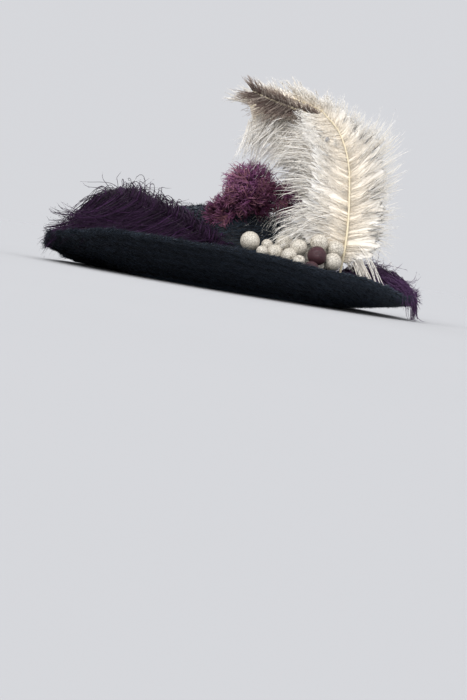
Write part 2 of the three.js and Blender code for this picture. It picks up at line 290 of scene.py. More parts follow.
@dataclass(frozen=True)
class PlushFinish:
    """Silk plush: near black, with a cold sheen where the nap catches the light."""

    deep: tuple = (0.0035, 0.005, 0.0078)
    lit: tuple = (0.024, 0.035, 0.054)
    sheen: tuple = (0.30, 0.42, 0.60, 1)
    patch_scale: float = 22
    grain_scale: float = 420
    grain_depth: float = 0.0006

    def material(self, name: str) -> Material:
        """Makes the finish from streaks that follow the nap.

        Args:
            name: The material's name.

        Returns:
            The material.
        """
        recipe = Recipe(name, Roughness=0.62, Specular_IOR_Level=0.28, Sheen_Weight=0.26,
                        Sheen_Roughness=0.4, Sheen_Tint=self.sheen)
        patches = recipe.noise(recipe.place(), self.patch_scale, 2)
        fine = recipe.noise(recipe.place((1, 1, 3)), self.grain_scale, 3)
        share = recipe.attribute("strand") * 0.9 + patches * 0.5 + recipe.attribute("along") * 0.25 - 0.55
        colour = recipe.mixed(share, self.deep, self.lit)
        return recipe.wear(Base_Color=colour, Normal=recipe.bump(fine, self.grain_depth))


@dataclass(frozen=True)
class PlumeFinish:
    """Dyed or natural ostrich: a colour ramp along each barb, which varies from barb to barb."""

    root: tuple
    middle: tuple
    tip: tuple
    other: tuple
    sheen: float
    gloss: float
    painted_shade: tuple | None = None
    fleck_scale: float = 900
    fleck_depth: float = 0.00008

    def material(self, name: str) -> Material:
        """Makes the finish from the attributes along, strand and shade of the barbs.

        Args:
            name: The material's name.

        Returns:
            The material.
        """
        recipe = Recipe(name, Roughness=0.6, Specular_IOR_Level=self.gloss, Sheen_Weight=self.sheen,
                        Sheen_Roughness=0.5, Sheen_Tint=(*self.tip, 1))
        stops = ((0.0, self.root), (0.45, self.middle), (1.0, self.tip))
        base = recipe.ramp(recipe.attribute("along"), stops)
        colour = recipe.mixed(recipe.attribute("strand") ** 2.2 * 0.8, base, self.other)
        # Painted shade: where a shade colour is given, the shade mark darkens strands towards it.
        if self.painted_shade is not None:
            colour = recipe.mixed(recipe.attribute("shade"), colour, self.painted_shade)
        flecks = recipe.noise(recipe.place(), self.fleck_scale, 2)
        return recipe.wear(Base_Color=colour, Normal=recipe.bump(flecks, self.fleck_depth))


@dataclass(frozen=True)
class QuillFinish:
    """Horn of a quill, lengthwise ribbed."""

    horn: tuple
    worn: tuple
    rib_scale: float = 1400
    rib_depth: float = 0.0002
    patch_scale: float = 90

    def material(self, name: str) -> Material:
        """Makes the finish from fine ribs.

        Args:
            name: The material's name.

        Returns:
            The material.
        """
        recipe = Recipe(name, Roughness=0.42)
        ribs = recipe.noise(recipe.place((1, 1, 0.08)), self.rib_scale, 2)
        colour = recipe.mixed(recipe.noise(recipe.place(), self.patch_scale, 2), self.horn, self.worn)
        return recipe.wear(Base_Color=colour, Normal=recipe.bump(ribs, self.rib_depth))


@dataclass(frozen=True)
class BerryFinish:
    """A satin berry with a fine net of crackle in its skin."""

    skin: tuple
    dull: tuple
    crackle: tuple
    shine: float = 0.35
    coat: float = 0.4
    cell_scale: float = 430
    line_edge: tuple[float, float] = (0.03, 0.13)
    line_depth: float = 0.00012
    bend_scale: float = 260
    mottle_scale: float = 140

    def material(self, name: str) -> Material:
        """Makes the finish from crackle lines over a mottled skin.

        Args:
            name: The material's name.

        Returns:
            The material.
        """
        recipe = Recipe(name, Coat_Weight=self.coat, Coat_Roughness=0.26)
        place = recipe.place()
        bent = recipe.noise(place, self.bend_scale, 2)
        cells = recipe.node("ShaderNodeTexVoronoi", {"feature": "DISTANCE_TO_EDGE"},
                            {"Vector": place, "Scale": self.cell_scale})
        edge = Value(recipe, cells.outputs["Distance"]) + bent * 0.06
        faded = recipe.node("ShaderNodeMapRange", {"interpolation_type": "SMOOTHSTEP"},
                            {0: edge, 1: self.line_edge[0], 2: self.line_edge[1], 3: 1.0, 4: 0.0})
        lines = Value(recipe, faded.outputs[0])
        mottled = recipe.mixed(recipe.noise(place, self.mottle_scale, 3), self.skin, self.dull)
        colour = recipe.mixed(lines * 0.8, mottled, self.crackle)
        return recipe.wear(Base_Color=colour, Roughness=bent * 0.25 + self.shine,
                           Normal=recipe.bump(1 - lines, self.line_depth))


@dataclass(frozen=True)
class GlassFinish:
    """Clear cut glass over foil."""

    clear: tuple = (1.0, 1.0, 1.0)
    # The dark of the painted glints.
    dark_sparkle: tuple = (0.14, 0.13, 0.12)
    sparkle_scale: float = 520

    def material(self, name: str) -> Material:
        """Makes the finish with painted glints: patches of clear white and dark across the stone stand in
        for its bright and dark facets.

        Args:
            name: The material's name.

        Returns:
            The material.
        """
        recipe = Recipe(name, Transmission_Weight=0.25, IOR=1.6, Metallic=0.55, Coat_Weight=0.6)
        # Painted glints: noise patches that mix clear white with dark.
        sparkle_patch = recipe.noise(recipe.place(), self.sparkle_scale, 1)
        return recipe.wear(Base_Color=recipe.mixed(sparkle_patch, self.clear, self.dark_sparkle), Roughness=sparkle_patch * 0.08)


@dataclass(frozen=True)
class FlossFinish:
    """Dark floss wound round a wire."""

    floss: tuple = (0.012, 0.014, 0.010)
    worn: tuple = (0.035, 0.034, 0.022)
    winding_scale: float = 380
    winding_depth: float = 0.0005

    def material(self, name: str) -> Material:
        """Makes the finish from windings across the wire.

        Args:
            name: The material's name.

        Returns:
            The material.
        """
        recipe = Recipe(name, Roughness=0.8, Sheen_Weight=0.2)
        windings = recipe.noise(recipe.place((1, 6, 1)), self.winding_scale, 2)
        colour = recipe.mixed(windings, self.floss, self.worn)
        return recipe.wear(Base_Color=colour, Normal=recipe.bump(windings, self.winding_depth))


class Strands:
    """Many tapered strands with three sides each, gathered into one mesh."""

    thinning: float = 0.55
    thinning_power: float = 1.5

    def __init__(self) -> None:
        """Starts with no strand."""
        self.vertices: list[Array] = []
        self.quads: list[Array] = []
        self.triangles: list[Array] = []
        self.marks: dict[str, list[Array]] = {"along": [], "strand": [], "shade": []}
        self.count = 0

    def add(self, lines: Array, radius: float, strand: Array, rng: Generator,
            along: Array | tuple[float, float] = (0.0, 1.0), shade: Array | float = 0.0) -> None:
        """Adds strands that all have the same number of points.

        Args:
            lines: The middle line of each strand, from its root to its tip.
            radius: Half the width of the strands at their roots.
            strand: A mark of each strand.
            rng: The draws that turn each strand about its line.
            along: The marks at the root and the tip, alike for all or one pair for each.
            shade: A second mark of the strands, which carries painted shade.
        """
        number, points = lines.shape[:2]
        tangent = unit(np.gradient(lines, axis=1))
        across = unit(np.cross(tangent, unit(rng.normal(size=(number, 1, 3)))))
        beside = np.cross(tangent, across)
        taper = 1 - self.thinning * np.linspace(0, 1, points)[:-1] ** self.thinning_power
        angle = np.arange(3) * 2 * math.pi / 3
        ring = across[:, :-1, None] * np.cos(angle)[:, None] + beside[:, :-1, None] * np.sin(angle)[:, None]
        rings = (lines[:, :-1, None] + ring * (radius * taper)[:, None, None]).reshape(number, -1, 3)
        block = np.concatenate([rings, lines[:, -1:]], axis=1)
        each = block.shape[1]
        start = (self.count + np.arange(number) * each)[:, None, None]
        low = np.arange(points - 2)[:, None] * 3 + np.arange(3)
        after = np.arange(points - 2)[:, None] * 3 + (np.arange(3) + 1) % 3
        quads = np.stack([low, after, after + 3, low + 3], axis=-1).reshape(1, -1, 4)
        last = (points - 2) * 3
        tip = [[last, last + 1, each - 1], [last + 1, last + 2, each - 1], [last + 2, last, each - 1]]
        self.quads.append((start + quads).reshape(-1, 4))
        self.triangles.append((start + np.array([[2, 1, 0], *tip])).reshape(-1, 3))
        self.vertices.append(block.reshape(-1, 3))
        ends = np.broadcast_to(along, (number, 2))
        marks = ends[:, :1] + (ends[:, 1:] - ends[:, :1]) * np.linspace(0, 1, points)
        ringed = np.concatenate([np.repeat(marks[:, :-1], 3, axis=1), marks[:, -1:]], axis=1)
        self.marks["along"].append(ringed.ravel())
        self.marks["strand"].append(np.repeat(strand, each))
        self.marks["shade"].append(np.repeat(np.broadcast_to(shade, number), each))
        self.count += number * each

    def mesh(self, name: str) -> Mesh:
        """Joins the strands into a mesh.

        Args:
            name: The mesh's name.

        Returns:
            The mesh, with its marks as attributes of its vertices.
        """
        vertices = np.concatenate(self.vertices)
        quads, triangles = np.concatenate(self.quads), np.concatenate(self.triangles)
        corners = np.concatenate([quads.ravel(), triangles.ravel()])
        sizes = np.concatenate([np.full(len(quads), 4), np.full(len(triangles), 3)])
        starts = np.concatenate([[0], np.cumsum(sizes)[:-1]])
        mesh = bpy.data.meshes.new(name)
        mesh.vertices.add(len(vertices))
        mesh.vertices.foreach_set("co", vertices.astype(np.float32).ravel())
        mesh.loops.add(len(corners))
        mesh.loops.foreach_set("vertex_index", corners.astype(np.int32))
        mesh.polygons.add(len(sizes))
        mesh.polygons.foreach_set("loop_start", starts.astype(np.int32))
        mesh.polygons.foreach_set("use_smooth", np.ones(len(sizes), bool))
        mesh.update(calc_edges=True)
        for key, parts in self.marks.items():
            mark = mesh.attributes.new(key, "FLOAT", "POINT")
            mark.data.foreach_set("value", np.concatenate(parts).astype(np.float32))
        return mesh


def hairs(name: str, root: Array, way: Array, length: Array, radius: float, strand: Array,
          rng: Generator, lowest: float = 0.0) -> Mesh:
    """Makes a nap of straight hairs.

    Args:
        name: The mesh's name.
        root: Where each hair grows.
        way: The direction of each hair.
        length: The length of each hair.
        radius: Half the width of the hairs.
        strand: The mark of each hair.
        rng: The draws that turn each hair about its line.
        lowest: The height that no hair goes below.

    Returns:
        The mesh.
    """
    lines = np.stack([root, root + unit(way) * length[:, None]], 1)
    lines[..., 2] = np.maximum(lines[..., 2], lowest)
    nap = Strands()
    nap.add(lines, radius, strand, rng)
    return nap.mesh(name)


def mesh_of(form: BMesh, name: str, smooth: bool = True) -> Mesh:
    """Writes a bmesh to a mesh whose faces point outwards.

    Args:
        form: The bmesh, which is freed.
        name: The mesh's name.
        smooth: Whether its faces are shaded smooth.

    Returns:
        The mesh.
    """
    bmesh.ops.remove_doubles(form, verts=form.verts, dist=1e-6)
    bmesh.ops.recalc_face_normals(form, faces=form.faces)
    for face in form.faces:
        face.smooth = smooth
    mesh = bpy.data.meshes.new(name)
    form.to_mesh(mesh)
    form.free()
    return mesh


def placed(name: str, data: bpy.types.ID) -> bpy.types.Object:
    """Puts an object that holds a mesh, a lamp or a camera in the scene.

    Args:
        name: The object's name.
        data: What it holds.

    Returns:
        The object.
    """
    holder = bpy.data.objects.new(name, data)
    bpy.context.scene.collection.objects.link(holder)
    return holder


def show(mesh: Mesh, material: Material, slot: str, *nodes: str) -> None:
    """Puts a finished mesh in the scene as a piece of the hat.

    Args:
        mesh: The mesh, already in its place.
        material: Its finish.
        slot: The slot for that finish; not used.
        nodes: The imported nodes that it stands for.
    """
    piece = placed(mesh.name, mesh)
    mesh.materials.append(material)
    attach(piece, "root")
    if nodes:
        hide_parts(*nodes)
    triangles = sum(len(face.vertices) - 2 for face in mesh.polygons)
    log.info("%s: %d triangles, finish %s", piece.name, triangles, material.name)


def middle_of(node: str) -> tuple[Vector, float]:
    """Gives the middle of a node's box and half its height."""
    low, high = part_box(node)
    return (low + high) / 2, (high.z - low.z) / 2


def lathed(form: BMesh, ring: list[BMVert], edges: list[BMEdge], steps: int) -> None:
    """Turns a section all the way round the Z axis."""
    bmesh.ops.spin(form, geom=ring + edges, cent=(0, 0, 0), axis=(0, 0, 1), dvec=(0, 0, 0),
                   angle=2 * math.pi, steps=steps, use_merge=True, use_duplicate=False)


def tube(line: Array, radius: Array, sides: int, form: BMesh | None = None) -> BMesh:
    """Sweeps a round section along a line.

    Args:
        line: The points of the line.
        radius: The radius at each point.
        sides: How many sides the section has.
        form: A bmesh to add to, or a new one.

    Returns:
        The bmesh.
    """
    form = form or bmesh.new()
    tangents = unit(np.gradient(line, axis=0))
    first = Vector(tangents[0])
    turn = Vector((0, 0, 1)).rotation_difference(first)
    start = Matrix.Translation(line[0]) @ turn.to_matrix().to_4x4()
    made = bmesh.ops.create_circle(form, cap_ends=True, segments=sides, radius=radius[0], matrix=start)
    edges = list({edge for vertex in made["verts"] for edge in vertex.link_edges})
    for index in range(1, len(line)):
        grown = bmesh.ops.extrude_edge_only(form, edges=edges)["geom"]
        ring = [item for item in grown if isinstance(item, BMVert)]
        edges = [item for item in grown if isinstance(item, BMEdge)]
        step = Vector(tangents[index - 1]).rotation_difference(Vector(tangents[index])).to_matrix().to_4x4()
        here = Matrix.Translation(line[index])
        back = Matrix.Translation(-Vector(line[index - 1]))
        wider = Matrix.Scale(radius[index] / radius[index - 1], 4)
        bmesh.ops.transform(form, matrix=here @ step @ wider @ back, verts=ring)
    bmesh.ops.contextual_create(form, geom=edges)
    return form


@dataclass(frozen=True)
class HatShape:
    """The ovals, the brim and the turned-up rim that every piece of the hat is set out on.

    The crown rows give shares of the height and of the oval, and the rim rows give turns and shares of
    the rise. A strand beyond rim_reach keeps the share past_rim of what is beyond. One that would hide
    the stone, as looked for in so many places along it, is cut back, to a stub at the least.
    """

    head_width: float = 0.162
    head_length: float = 0.196
    brim_front: float = 0.098
    brim_back: float = 0.088
    brim_side: float = 0.111
    brim_thick: float = 0.003
    rim_rise: float = 0.039
    brim_arch: float = 0.008
    collar_width: float = 0.008
    rest_reach: float = 0.86
    rim_reach: float = 1.04
    past_rim: float = 0.3
    off_floor: float = 0.0006
    clearance: float = 0.0003
    crown_height: float = 0.080
    crown_wall: float = 0.003
    looks: int = 24
    stub: float = 0.02
    stone_front: float = 0.001
    rounds: int = 5
    crown_rows: Rows = (
        (0, 1), (0.3, 0.985), (0.56, 0.95), (0.76, 0.86), (0.89, 0.7), (0.97, 0.45), (1, 0.16), (1.004, 0))
    rim_rows: Rows = (
        (-150, 0), (-115, 0.36), (-90, 0.7), (-55, 0.99), (-20, 1), (15, 0.82),
        (50, 0.5), (90, 0.33), (125, 0.08), (160, 0), (210, 0))

    @cached_property
    def axis(self) -> Array:
        """The point under the middle of the crown."""
        middle, _ = middle_of("crown")
        return np.array([middle.x, middle.y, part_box("brim")[0].z])

    @property
    def brim_long(self) -> float:
        """The mean width of the brim along Y."""
        return (self.brim_front + self.brim_back) / 2

    @property
    def forward(self) -> float:
        """How far the rim's middle lies in front of the crown's."""
        return (self.brim_front - self.brim_back) / 2

    def plan(self, turn: Array, reach: Array, wall: float = 0.0) -> Array:
        """Gives horizontal places, from the oval of the head opening to the oval of the rim.

        Args:
            turn: Degrees from the wearer's left towards the back.
            reach: 0 at the head opening and 1 at the rim.
            wall: How far outside the ovals.

        Returns:
            The places along X and Y.
        """
        cosine, sine = np.cos(np.radians(turn)), np.sin(np.radians(turn))
        wide, long = self.head_width / 2 + wall, self.head_length / 2 + wall
        inner = np.stack([wide * cosine, long * sine], -1)
        north = (long + self.brim_long) * sine - self.forward
        outer = np.stack([(wide + self.brim_side) * cosine, north], -1)
        return inner + (outer - inner) * np.asarray(reach)[..., None]

    def under(self, turn: Array, reach: Array) -> Array:
        """Gives the height of the brim's underside.

        Args:
            turn: Degrees from the wearer's left towards the back.
            reach: 0 at the head opening and 1 at the rim.

        Returns:
            The heights above the floor.
        """
        lift = eased(self.rim_rows, 1, (np.asarray(turn) + 150) % 360 - 150)
        collar = self.collar_width / self.brim_side
        slope = np.maximum(0, (reach - collar) / (1 - collar))
        span = np.clip((reach - collar) / (self.rest_reach - collar), 0, 1)
        flat = np.maximum(0, 1 - 3 * lift) ** 2
        return self.rim_rise * lift * slope ** 1.15 + self.brim_arch * flat * np.sin(math.pi * span)

    def over(self, turn: Array, reach: Array, rise: Array) -> Array:
        """Gives points at a height over the brim's upper side.

        Args:
            turn: Degrees from the wearer's left towards the back.
            reach: 0 at the head opening and 1 at the rim.
            rise: How far above the brim.

        Returns:
            The points.
        """
        turn, reach, rise = np.broadcast_arrays(*map(np.asarray, (turn, reach, rise)))
        height = self.under(turn, np.clip(reach, 0, 1)) + self.brim_thick + rise
        return np.concatenate([self.plan(turn, reach), height[..., None]], -1) + self.axis

    def located(self, points: Array) -> tuple[Array, Array]:
        """Gives the turn and the reach of points on the hat.

        Args:
            points: The points, from above the brim.

        Returns:
            Their turns in degrees and their reaches.
        """
        east, north = points[..., 0] - self.axis[0], points[..., 1] - self.axis[1]
        wide, long = self.head_width / 2, self.head_length / 2
        forward, reach = self.forward, np.zeros_like(east)
        for _ in range(self.rounds):
            angle = np.arctan2((north + forward * reach) / (long + self.brim_long * np.clip(reach, -0.8, 2)),
                               east / (wide + self.brim_side * np.clip(reach, -0.7, 2)))
            cosine, sine = np.cos(angle), np.sin(angle)
            span = self.brim_side * cosine ** 2 + (self.brim_long * sine - forward) * sine
            reach = (east * cosine + north * sine - wide * cosine ** 2 - long * sine ** 2) / span
            reach = np.clip(reach, -0.9, 3)
        return np.degrees(angle), reach

    def cleared(self, points: Array, room: float) -> Array:
        """Moves points off the brim, out of the crown and off the floor.

        Args:
            points: The points.
            room: How far they keep from the brim and the crown.

        Returns:
            The moved points.
        """
        moved = points.copy()
        middle = self.axis
        table = np.array(self.crown_rows)
        up = np.clip((moved[..., 2] - middle[2] - self.brim_thick - room) / self.crown_height, 0, 1)
        out = np.interp(up, table[:, 0], table[:, 1])
        wall = self.crown_wall + room
        east = (moved[..., 0] - middle[0]) / (self.head_width / 2 + wall)
        north = (moved[..., 1] - middle[1]) / (self.head_length / 2 + wall)
        inside = np.hypot(east, north)
        push = np.where(up < 1, np.maximum(out / np.maximum(inside, 0.05), 1), 1)
        moved[..., 0] = middle[0] + (moved[..., 0] - middle[0]) * push
        moved[..., 1] = middle[1] + (moved[..., 1] - middle[1]) * push
        turn, reach = self.located(moved)
        far = reach > self.rim_reach
        drawn = np.where(far, self.rim_reach + (reach - self.rim_reach) * self.past_rim, reach)
        moved[..., :2] = np.where(far[..., None], self.plan(turn, drawn) + middle[:2], moved[..., :2])
        seat = self.under(turn, np.clip(reach, 0, 1)) + self.brim_thick + room + middle[2]
        lowest = np.where(reach < self.rim_reach - 0.01, seat, middle[2] + room + self.off_floor)
        moved[..., 2] = np.maximum(moved[..., 2], lowest)
        return moved

    def parted(self, lines: Array, room: float = 0.0042) -> Array:
        """Shortens strands that would cross in front of the stone.

        Args:
            lines: The middle lines of the strands.
            room: How far from the stone's middle they stay.

        Returns:
            The lines, of which those in the way end before it.
        """
        middle = np.array(middle_of("crystal")[0])
        outward = unit((middle - self.axis) * [1, 1, 0])
        parts = np.linspace(0, lines.shape[1] - 1, self.looks + 1)
        index = np.minimum(parts.astype(int), lines.shape[1] - 2)
        blend = (parts - index)[None, :, None]
        dense = lines[:, index] * (1 - blend) + lines[:, index + 1] * blend - middle
        ahead = dense @ outward
        aside = np.linalg.norm(dense - ahead[..., None] * outward, axis=-1)
        blocked = (aside < room) & (ahead > -self.stone_front)
        first = np.where(blocked.any(1), np.argmax(blocked, axis=1) / self.looks * 0.9, 1)
        root = lines[:, :1]
        return root + (lines - root) * np.maximum(first, self.stub)[:, None, None]

    def facing(self, turn: float, tilt: float) -> Array:
        """Gives the direction at a turn, tilted above the level, both in degrees."""
        level = math.cos(math.radians(tilt))
        angle = math.radians(turn)
        return np.array([level * math.cos(angle), level * math.sin(angle), math.sin(math.radians(tilt))])


@dataclass
class Brim:
    """The wide plush brim with its nap."""

    shape: HatShape
    finish: PlushFinish
    steps_out: int = 16
    steps_round: int = 120
    nap_length: float = 0.0105
    nap_radius: float = 0.00040
    nap_range: tuple[float, float] = (0.65, 1.25)
    nap_inside: float = 0.16
    nap_lowest: float = 0.0004
    lean: float = 0.10
    lean_spread: float = 0.16
    clump_lean: float = 0.28
    lift: float = 0.16
    lift_spread: float = 0.05
    clump_lift: float = 0.10
    fringe_range: tuple[float, float] = (0.35, 0.85)
    fringe_out: tuple[float, float] = (0.15, 0.6)
    fringe_fall: float = 0.35
    under_hairs: int = 27000
    top_hairs: int = 9000
    rim_hairs: int = 8500
    seed: int = 11

    @property
    def bulge(self) -> float:
        """How far the rounded rim stands past reach 1."""
        return self.shape.brim_thick / 2 / self.shape.brim_side

    def point(self, turn: Array, reach: Array, level: Array) -> Array:
        """Gives points of the brim, with level 0 underneath and 1 on top."""
        height = self.shape.under(turn, np.clip(reach, 0, 1)) + self.shape.brim_thick * level
        return np.concatenate([self.shape.plan(turn, reach), height[..., None]], -1) + self.shape.axis

    def steps(self, turn: Array, reach: Array, level: Array) -> tuple[Array, Array, Array]:
        """Gives points of the brim with the directions round it and outwards.

        Args:
            turn: Degrees from the wearer's left towards the back.
            reach: 0 at the head opening and 1 at the rim.
            level: 0 underneath and 1 on top.

        Returns:
            The points, the directions round the brim and those outwards.
        """
        root = self.point(turn, reach, level)
        beside = self.point(turn + 0.5, reach, level)
        return root, unit(beside - root), unit(self.point(turn, reach + 0.01, level) - root)

    def shell(self) -> Mesh:
        """Turns the felt of the brim from its section, then shapes it to the ovals and the rim."""
        form = bmesh.new()
        out = np.linspace(0, 1, self.steps_out)
        angles = (0.25 * math.pi, 0.5 * math.pi, 0.75 * math.pi)
        rim = [(1 + self.bulge * math.sin(angle), 0.5 - 0.5 * math.cos(angle)) for angle in angles]
        section = [(reach, 0.0) for reach in out] + rim + [(reach, 1.0) for reach in out[::-1]]
        ring = [form.verts.new((1 + reach, 0, level)) for reach, level in section]
        edges = [form.edges.new(pair) for pair in zip(ring, ring[1:] + ring[:1])]
        lathed(form, ring, edges, self.steps_round)
        for vertex in form.verts:
            turn = np.array(math.degrees(math.atan2(vertex.co.y, vertex.co.x)))
            reach = np.array(math.hypot(vertex.co.x, vertex.co.y) - 1)
            vertex.co = self.point(turn, reach, np.array(vertex.co.z))
        return mesh_of(form, "brim_felt")

    def nap(self, side: Side, number: int, name: str) -> Mesh:
        """Lays the nap on one side of the brim, brushed round it in clumps and streaks.

        Args:
            side: The side that it covers.
            number: How many hairs.
            name: The mesh's name.

        Returns:
            The mesh.
        """
        rng = default_rng(self.seed + side.value)
        turn = rng.uniform(-180, 180, number)
        reach = np.sqrt(rng.uniform(0.10, 1, number)) * (1 + self.nap_inside) - self.nap_inside
        reach = np.clip(reach, 0.03, 1)
        root, round_step, out_step = self.steps(turn, reach, np.full(number, max(side.value, 0.0)))
        normal = unit(np.cross(round_step, out_step))
        normal *= np.sign(normal[:, 2:]) * side.value
        clump = np.sin(turn * 0.9 + 3 * np.sin(reach * 9)) * np.sin(reach * 31 + turn * 0.23)
        lean = self.clump_lean * clump + rng.normal(0, self.lean_spread, number) + self.lean
        lift = self.lift + self.clump_lift * np.abs(clump) + rng.normal(0, self.lift_spread, number)
        way = round_step * np.cos(lean)[:, None] + out_step * np.sin(lean)[:, None] + normal * lift[:, None]
        length = self.nap_length * rng.uniform(*self.nap_range, number)
        streak = np.sin(reach * 46 + 1.6 * np.sin(np.radians(turn) * 3) + 0.8 * np.sin(turn * 0.31))
        strand = np.clip(0.4 + 0.32 * streak + 0.28 * clump + rng.normal(0, 0.16, number), 0, 1)
        return hairs(name, root, way, length, self.nap_radius, strand, rng, self.nap_lowest)

    def rim_fringe(self) -> Mesh:
        """Lays the nap over the rim, where it stands out in tufts."""
        rng = default_rng(self.seed + 5)
        number = self.rim_hairs
        turn = rng.uniform(-180, 180, number)
        angle = rng.uniform(0, math.pi, number)
        reach = 1 + self.bulge * np.sin(angle) * 0.8
        root, round_step, out_step = self.steps(turn, reach, 0.5 - 0.5 * np.cos(angle))
        tuft = np.round(turn * 0.8 + rng.normal(0, 0.3, number))
        onward = 0.85 + np.sin(tuft * 12.9898) * 0.5
        up_step = np.cross(round_step, out_step)
        up_step *= np.sign(up_step[:, 2:])
        outward = rng.uniform(*self.fringe_out, number)
        upward = rng.normal(0, 0.12, number) - np.cos(angle) * self.fringe_fall
        way = round_step * onward[:, None] + out_step * outward[:, None] + up_step * upward[:, None]
        length = self.nap_length * rng.uniform(*self.fringe_range, number)
        length = length * (0.85 + 0.3 * np.cos(tuft * 7.1))
        strand = rng.uniform(0, 0.9, number)
        return hairs("brim_rim_nap", root, way, length, self.nap_radius, strand, rng, self.nap_lowest)

    def build(self) -> None:
        """Builds and dresses the brim."""
        plush = self.finish.material("black_plush")
        show(self.shell(), plush, "plush", "brim")
        show(self.nap(Side.UNDER, self.under_hairs, "brim_under_nap"), plush, "plush")
        show(self.nap(Side.TOP, self.top_hairs, "brim_top_nap"), plush, "plush")
        show(self.rim_fringe(), plush, "plush")


@dataclass
class Crown:
    """The round crown, hollow, with its nap."""

    shape: HatShape
    finish: PlushFinish
    steps_round: int = 84
    hairs: int = 8500
    top_share: float = 0.03
    top_heights: tuple[float, float] = (0.995, 1.0038)
    lean_spread: float = 0.25
    lift_range: tuple[float, float] = (0.05, 0.35)
    nap_length: float = 0.011
    nap_range: tuple[float, float] = (0.6, 1.2)
    nap_radius: float = 0.00045
    seed: int = 23

    def point(self, turn: Array, up: Array, wall: float) -> Array:
        """Gives points of the crown, outside its hollow by a wall.

        Args:
            turn: Degrees from the wearer's left towards the back.
            up: The share of the crown's height.
            wall: How far outside the hollow.

        Returns:
            The points.
        """
        out = np.interp(up, *np.array(self.shape.crown_rows).T)
        foot = self.shape.brim_thick + self.shape.clearance
        plan = self.shape.plan(turn, np.zeros_like(out), wall) * out[..., None]
        height = foot + up * (self.shape.crown_height - (self.shape.crown_wall - wall))
        return np.concatenate([plan, height[..., None]], -1) + self.shape.axis

    def shell(self) -> Mesh:
        """Turns the crown's wall from its profile and shapes it to the oval of the head."""
        form = bmesh.new()
        ups = np.concatenate([np.linspace(0, 0.9, 12), [0.94, 0.97, 0.99, 1.004]])
        wall = self.shape.crown_wall
        section = [(up, wall) for up in ups] + [(up, 0.0) for up in ups[::-1]]
        spots = [self.point(np.array(0.0), np.array(up), out) - self.shape.axis for up, out in section]
        ring = [form.verts.new(spot) for spot in spots]
        apex = (ring[len(ups) - 1], ring[len(ups)])
        edges = [form.edges.new(pair) for pair in zip(ring, ring[1:] + ring[:1]) if pair != apex]
        lathed(form, ring, edges, self.steps_round)
        for vertex in form.verts:
            vertex.co.y *= (self.shape.head_length / 2 + wall) / (self.shape.head_width / 2 + wall)
            vertex.co += Vector(self.shape.axis)
        return mesh_of(form, "crown_felt")

    def nap(self) -> Mesh:
        """Lays the nap round the crown, brushed towards the back, with some more on the very top."""
        rng = default_rng(self.seed)
        number = self.hairs
        turn = rng.uniform(-180, 180, number)
        up = 1 - (1 - rng.uniform(0.02, 1, number)) ** 1.35
        up = np.where(rng.random(number) < self.top_share, rng.uniform(*self.top_heights, number), up)
        wall = self.shape.crown_wall
        root = self.point(turn, up, wall)
        round_step = unit(self.point(turn + 0.5, up, wall) - root)
        up_step = unit(self.point(turn, up + 0.004, wall) - root)
        normal = unit(np.cross(round_step, up_step))
        lean = 0.35 * np.sin(turn * 0.5) * np.sin(up * 11) + rng.normal(0, self.lean_spread, number)
        lift = rng.uniform(*self.lift_range, number)
        way = round_step * np.cos(lean)[:, None] + up_step * np.sin(lean)[:, None] + normal * lift[:, None]
        length = self.nap_length * rng.uniform(*self.nap_range, number)
        return hairs("crown_nap", root, way, length, self.nap_radius, rng.uniform(0, 1, number), rng)

    def build(self) -> None:
        """Builds and dresses the crown."""
        plush = self.finish.material("black_plush_crown")
        show(self.shell(), plush, "plush", "crown")
        show(self.nap(), plush, "plush")


class Spine:
    """The line of a quill: a smooth curve through points, measured by length."""

    samples: int = 60
    half_step: float = 0.012

    def __init__(self, points: Array) -> None:
        """Draws the curve through the points."""
        before = 2 * points[0] - points[1]
        after = 2 * points[-1] - points[-2]
        knots = np.vstack([before, points, after])
        drawn = [self._span(*knots[index:index + 4]) for index in range(len(knots) - 3)]
        self.line = np.vstack([*drawn, points[-1:]])
        steps = np.linalg.norm(np.diff(self.line, axis=0), axis=1)
        self.length = steps.sum()
        self.shares = np.concatenate([[0], np.cumsum(steps)]) / self.length

    def _span(self, a: Array, b: Array, c: Array, d: Array) -> Array:
        """Draws the centripetal Catmull-Rom curve from b to c.

        Args:
            a: The point before.
            b: The first end.
            c: The second end.
            d: The point after.

        Returns:
            Points of the curve, without its second end.
        """
        first, middle, last = (math.sqrt(np.linalg.norm(q - p)) for p, q in ((a, b), (b, c), (c, d)))
        leave = ((b - a) / first - (c - a) / (first + middle) + (c - b) / middle) * middle
        arrive = ((c - b) / middle - (d - b) / (middle + last) + (d - c) / last) * middle
        t = np.linspace(0, 1, self.samples, endpoint=False)[:, None]
        return ((2 * t ** 3 - 3 * t ** 2 + 1) * b + (t ** 3 - 2 * t ** 2 + t) * leave
                + (3 * t ** 2 - 2 * t ** 3) * c + (t ** 3 - t ** 2) * arrive)

    def at(self, share: Array) -> Array:
        """Gives the points at shares of the length."""
        share = np.clip(share, 0, 1)
        return np.stack([np.interp(share, self.shares, self.line[:, k]) for k in range(3)], -1)

    def along(self, share: Array) -> Array:
        """Gives the directions at shares of the length."""
        return unit(self.at(share + self.half_step) - self.at(share - self.half_step))


@dataclass(frozen=True)
class Wisps:
    """A run of long stiff strands that stand out at the edge of a vane.

    The run goes from low to high along the quill. The length is in shares of the plume's barb, and
    the sweep is in degrees.
    """

    hand: Hand
    low: float
    high: float
    number: int
    length: float
    sweep: float
    droop: float


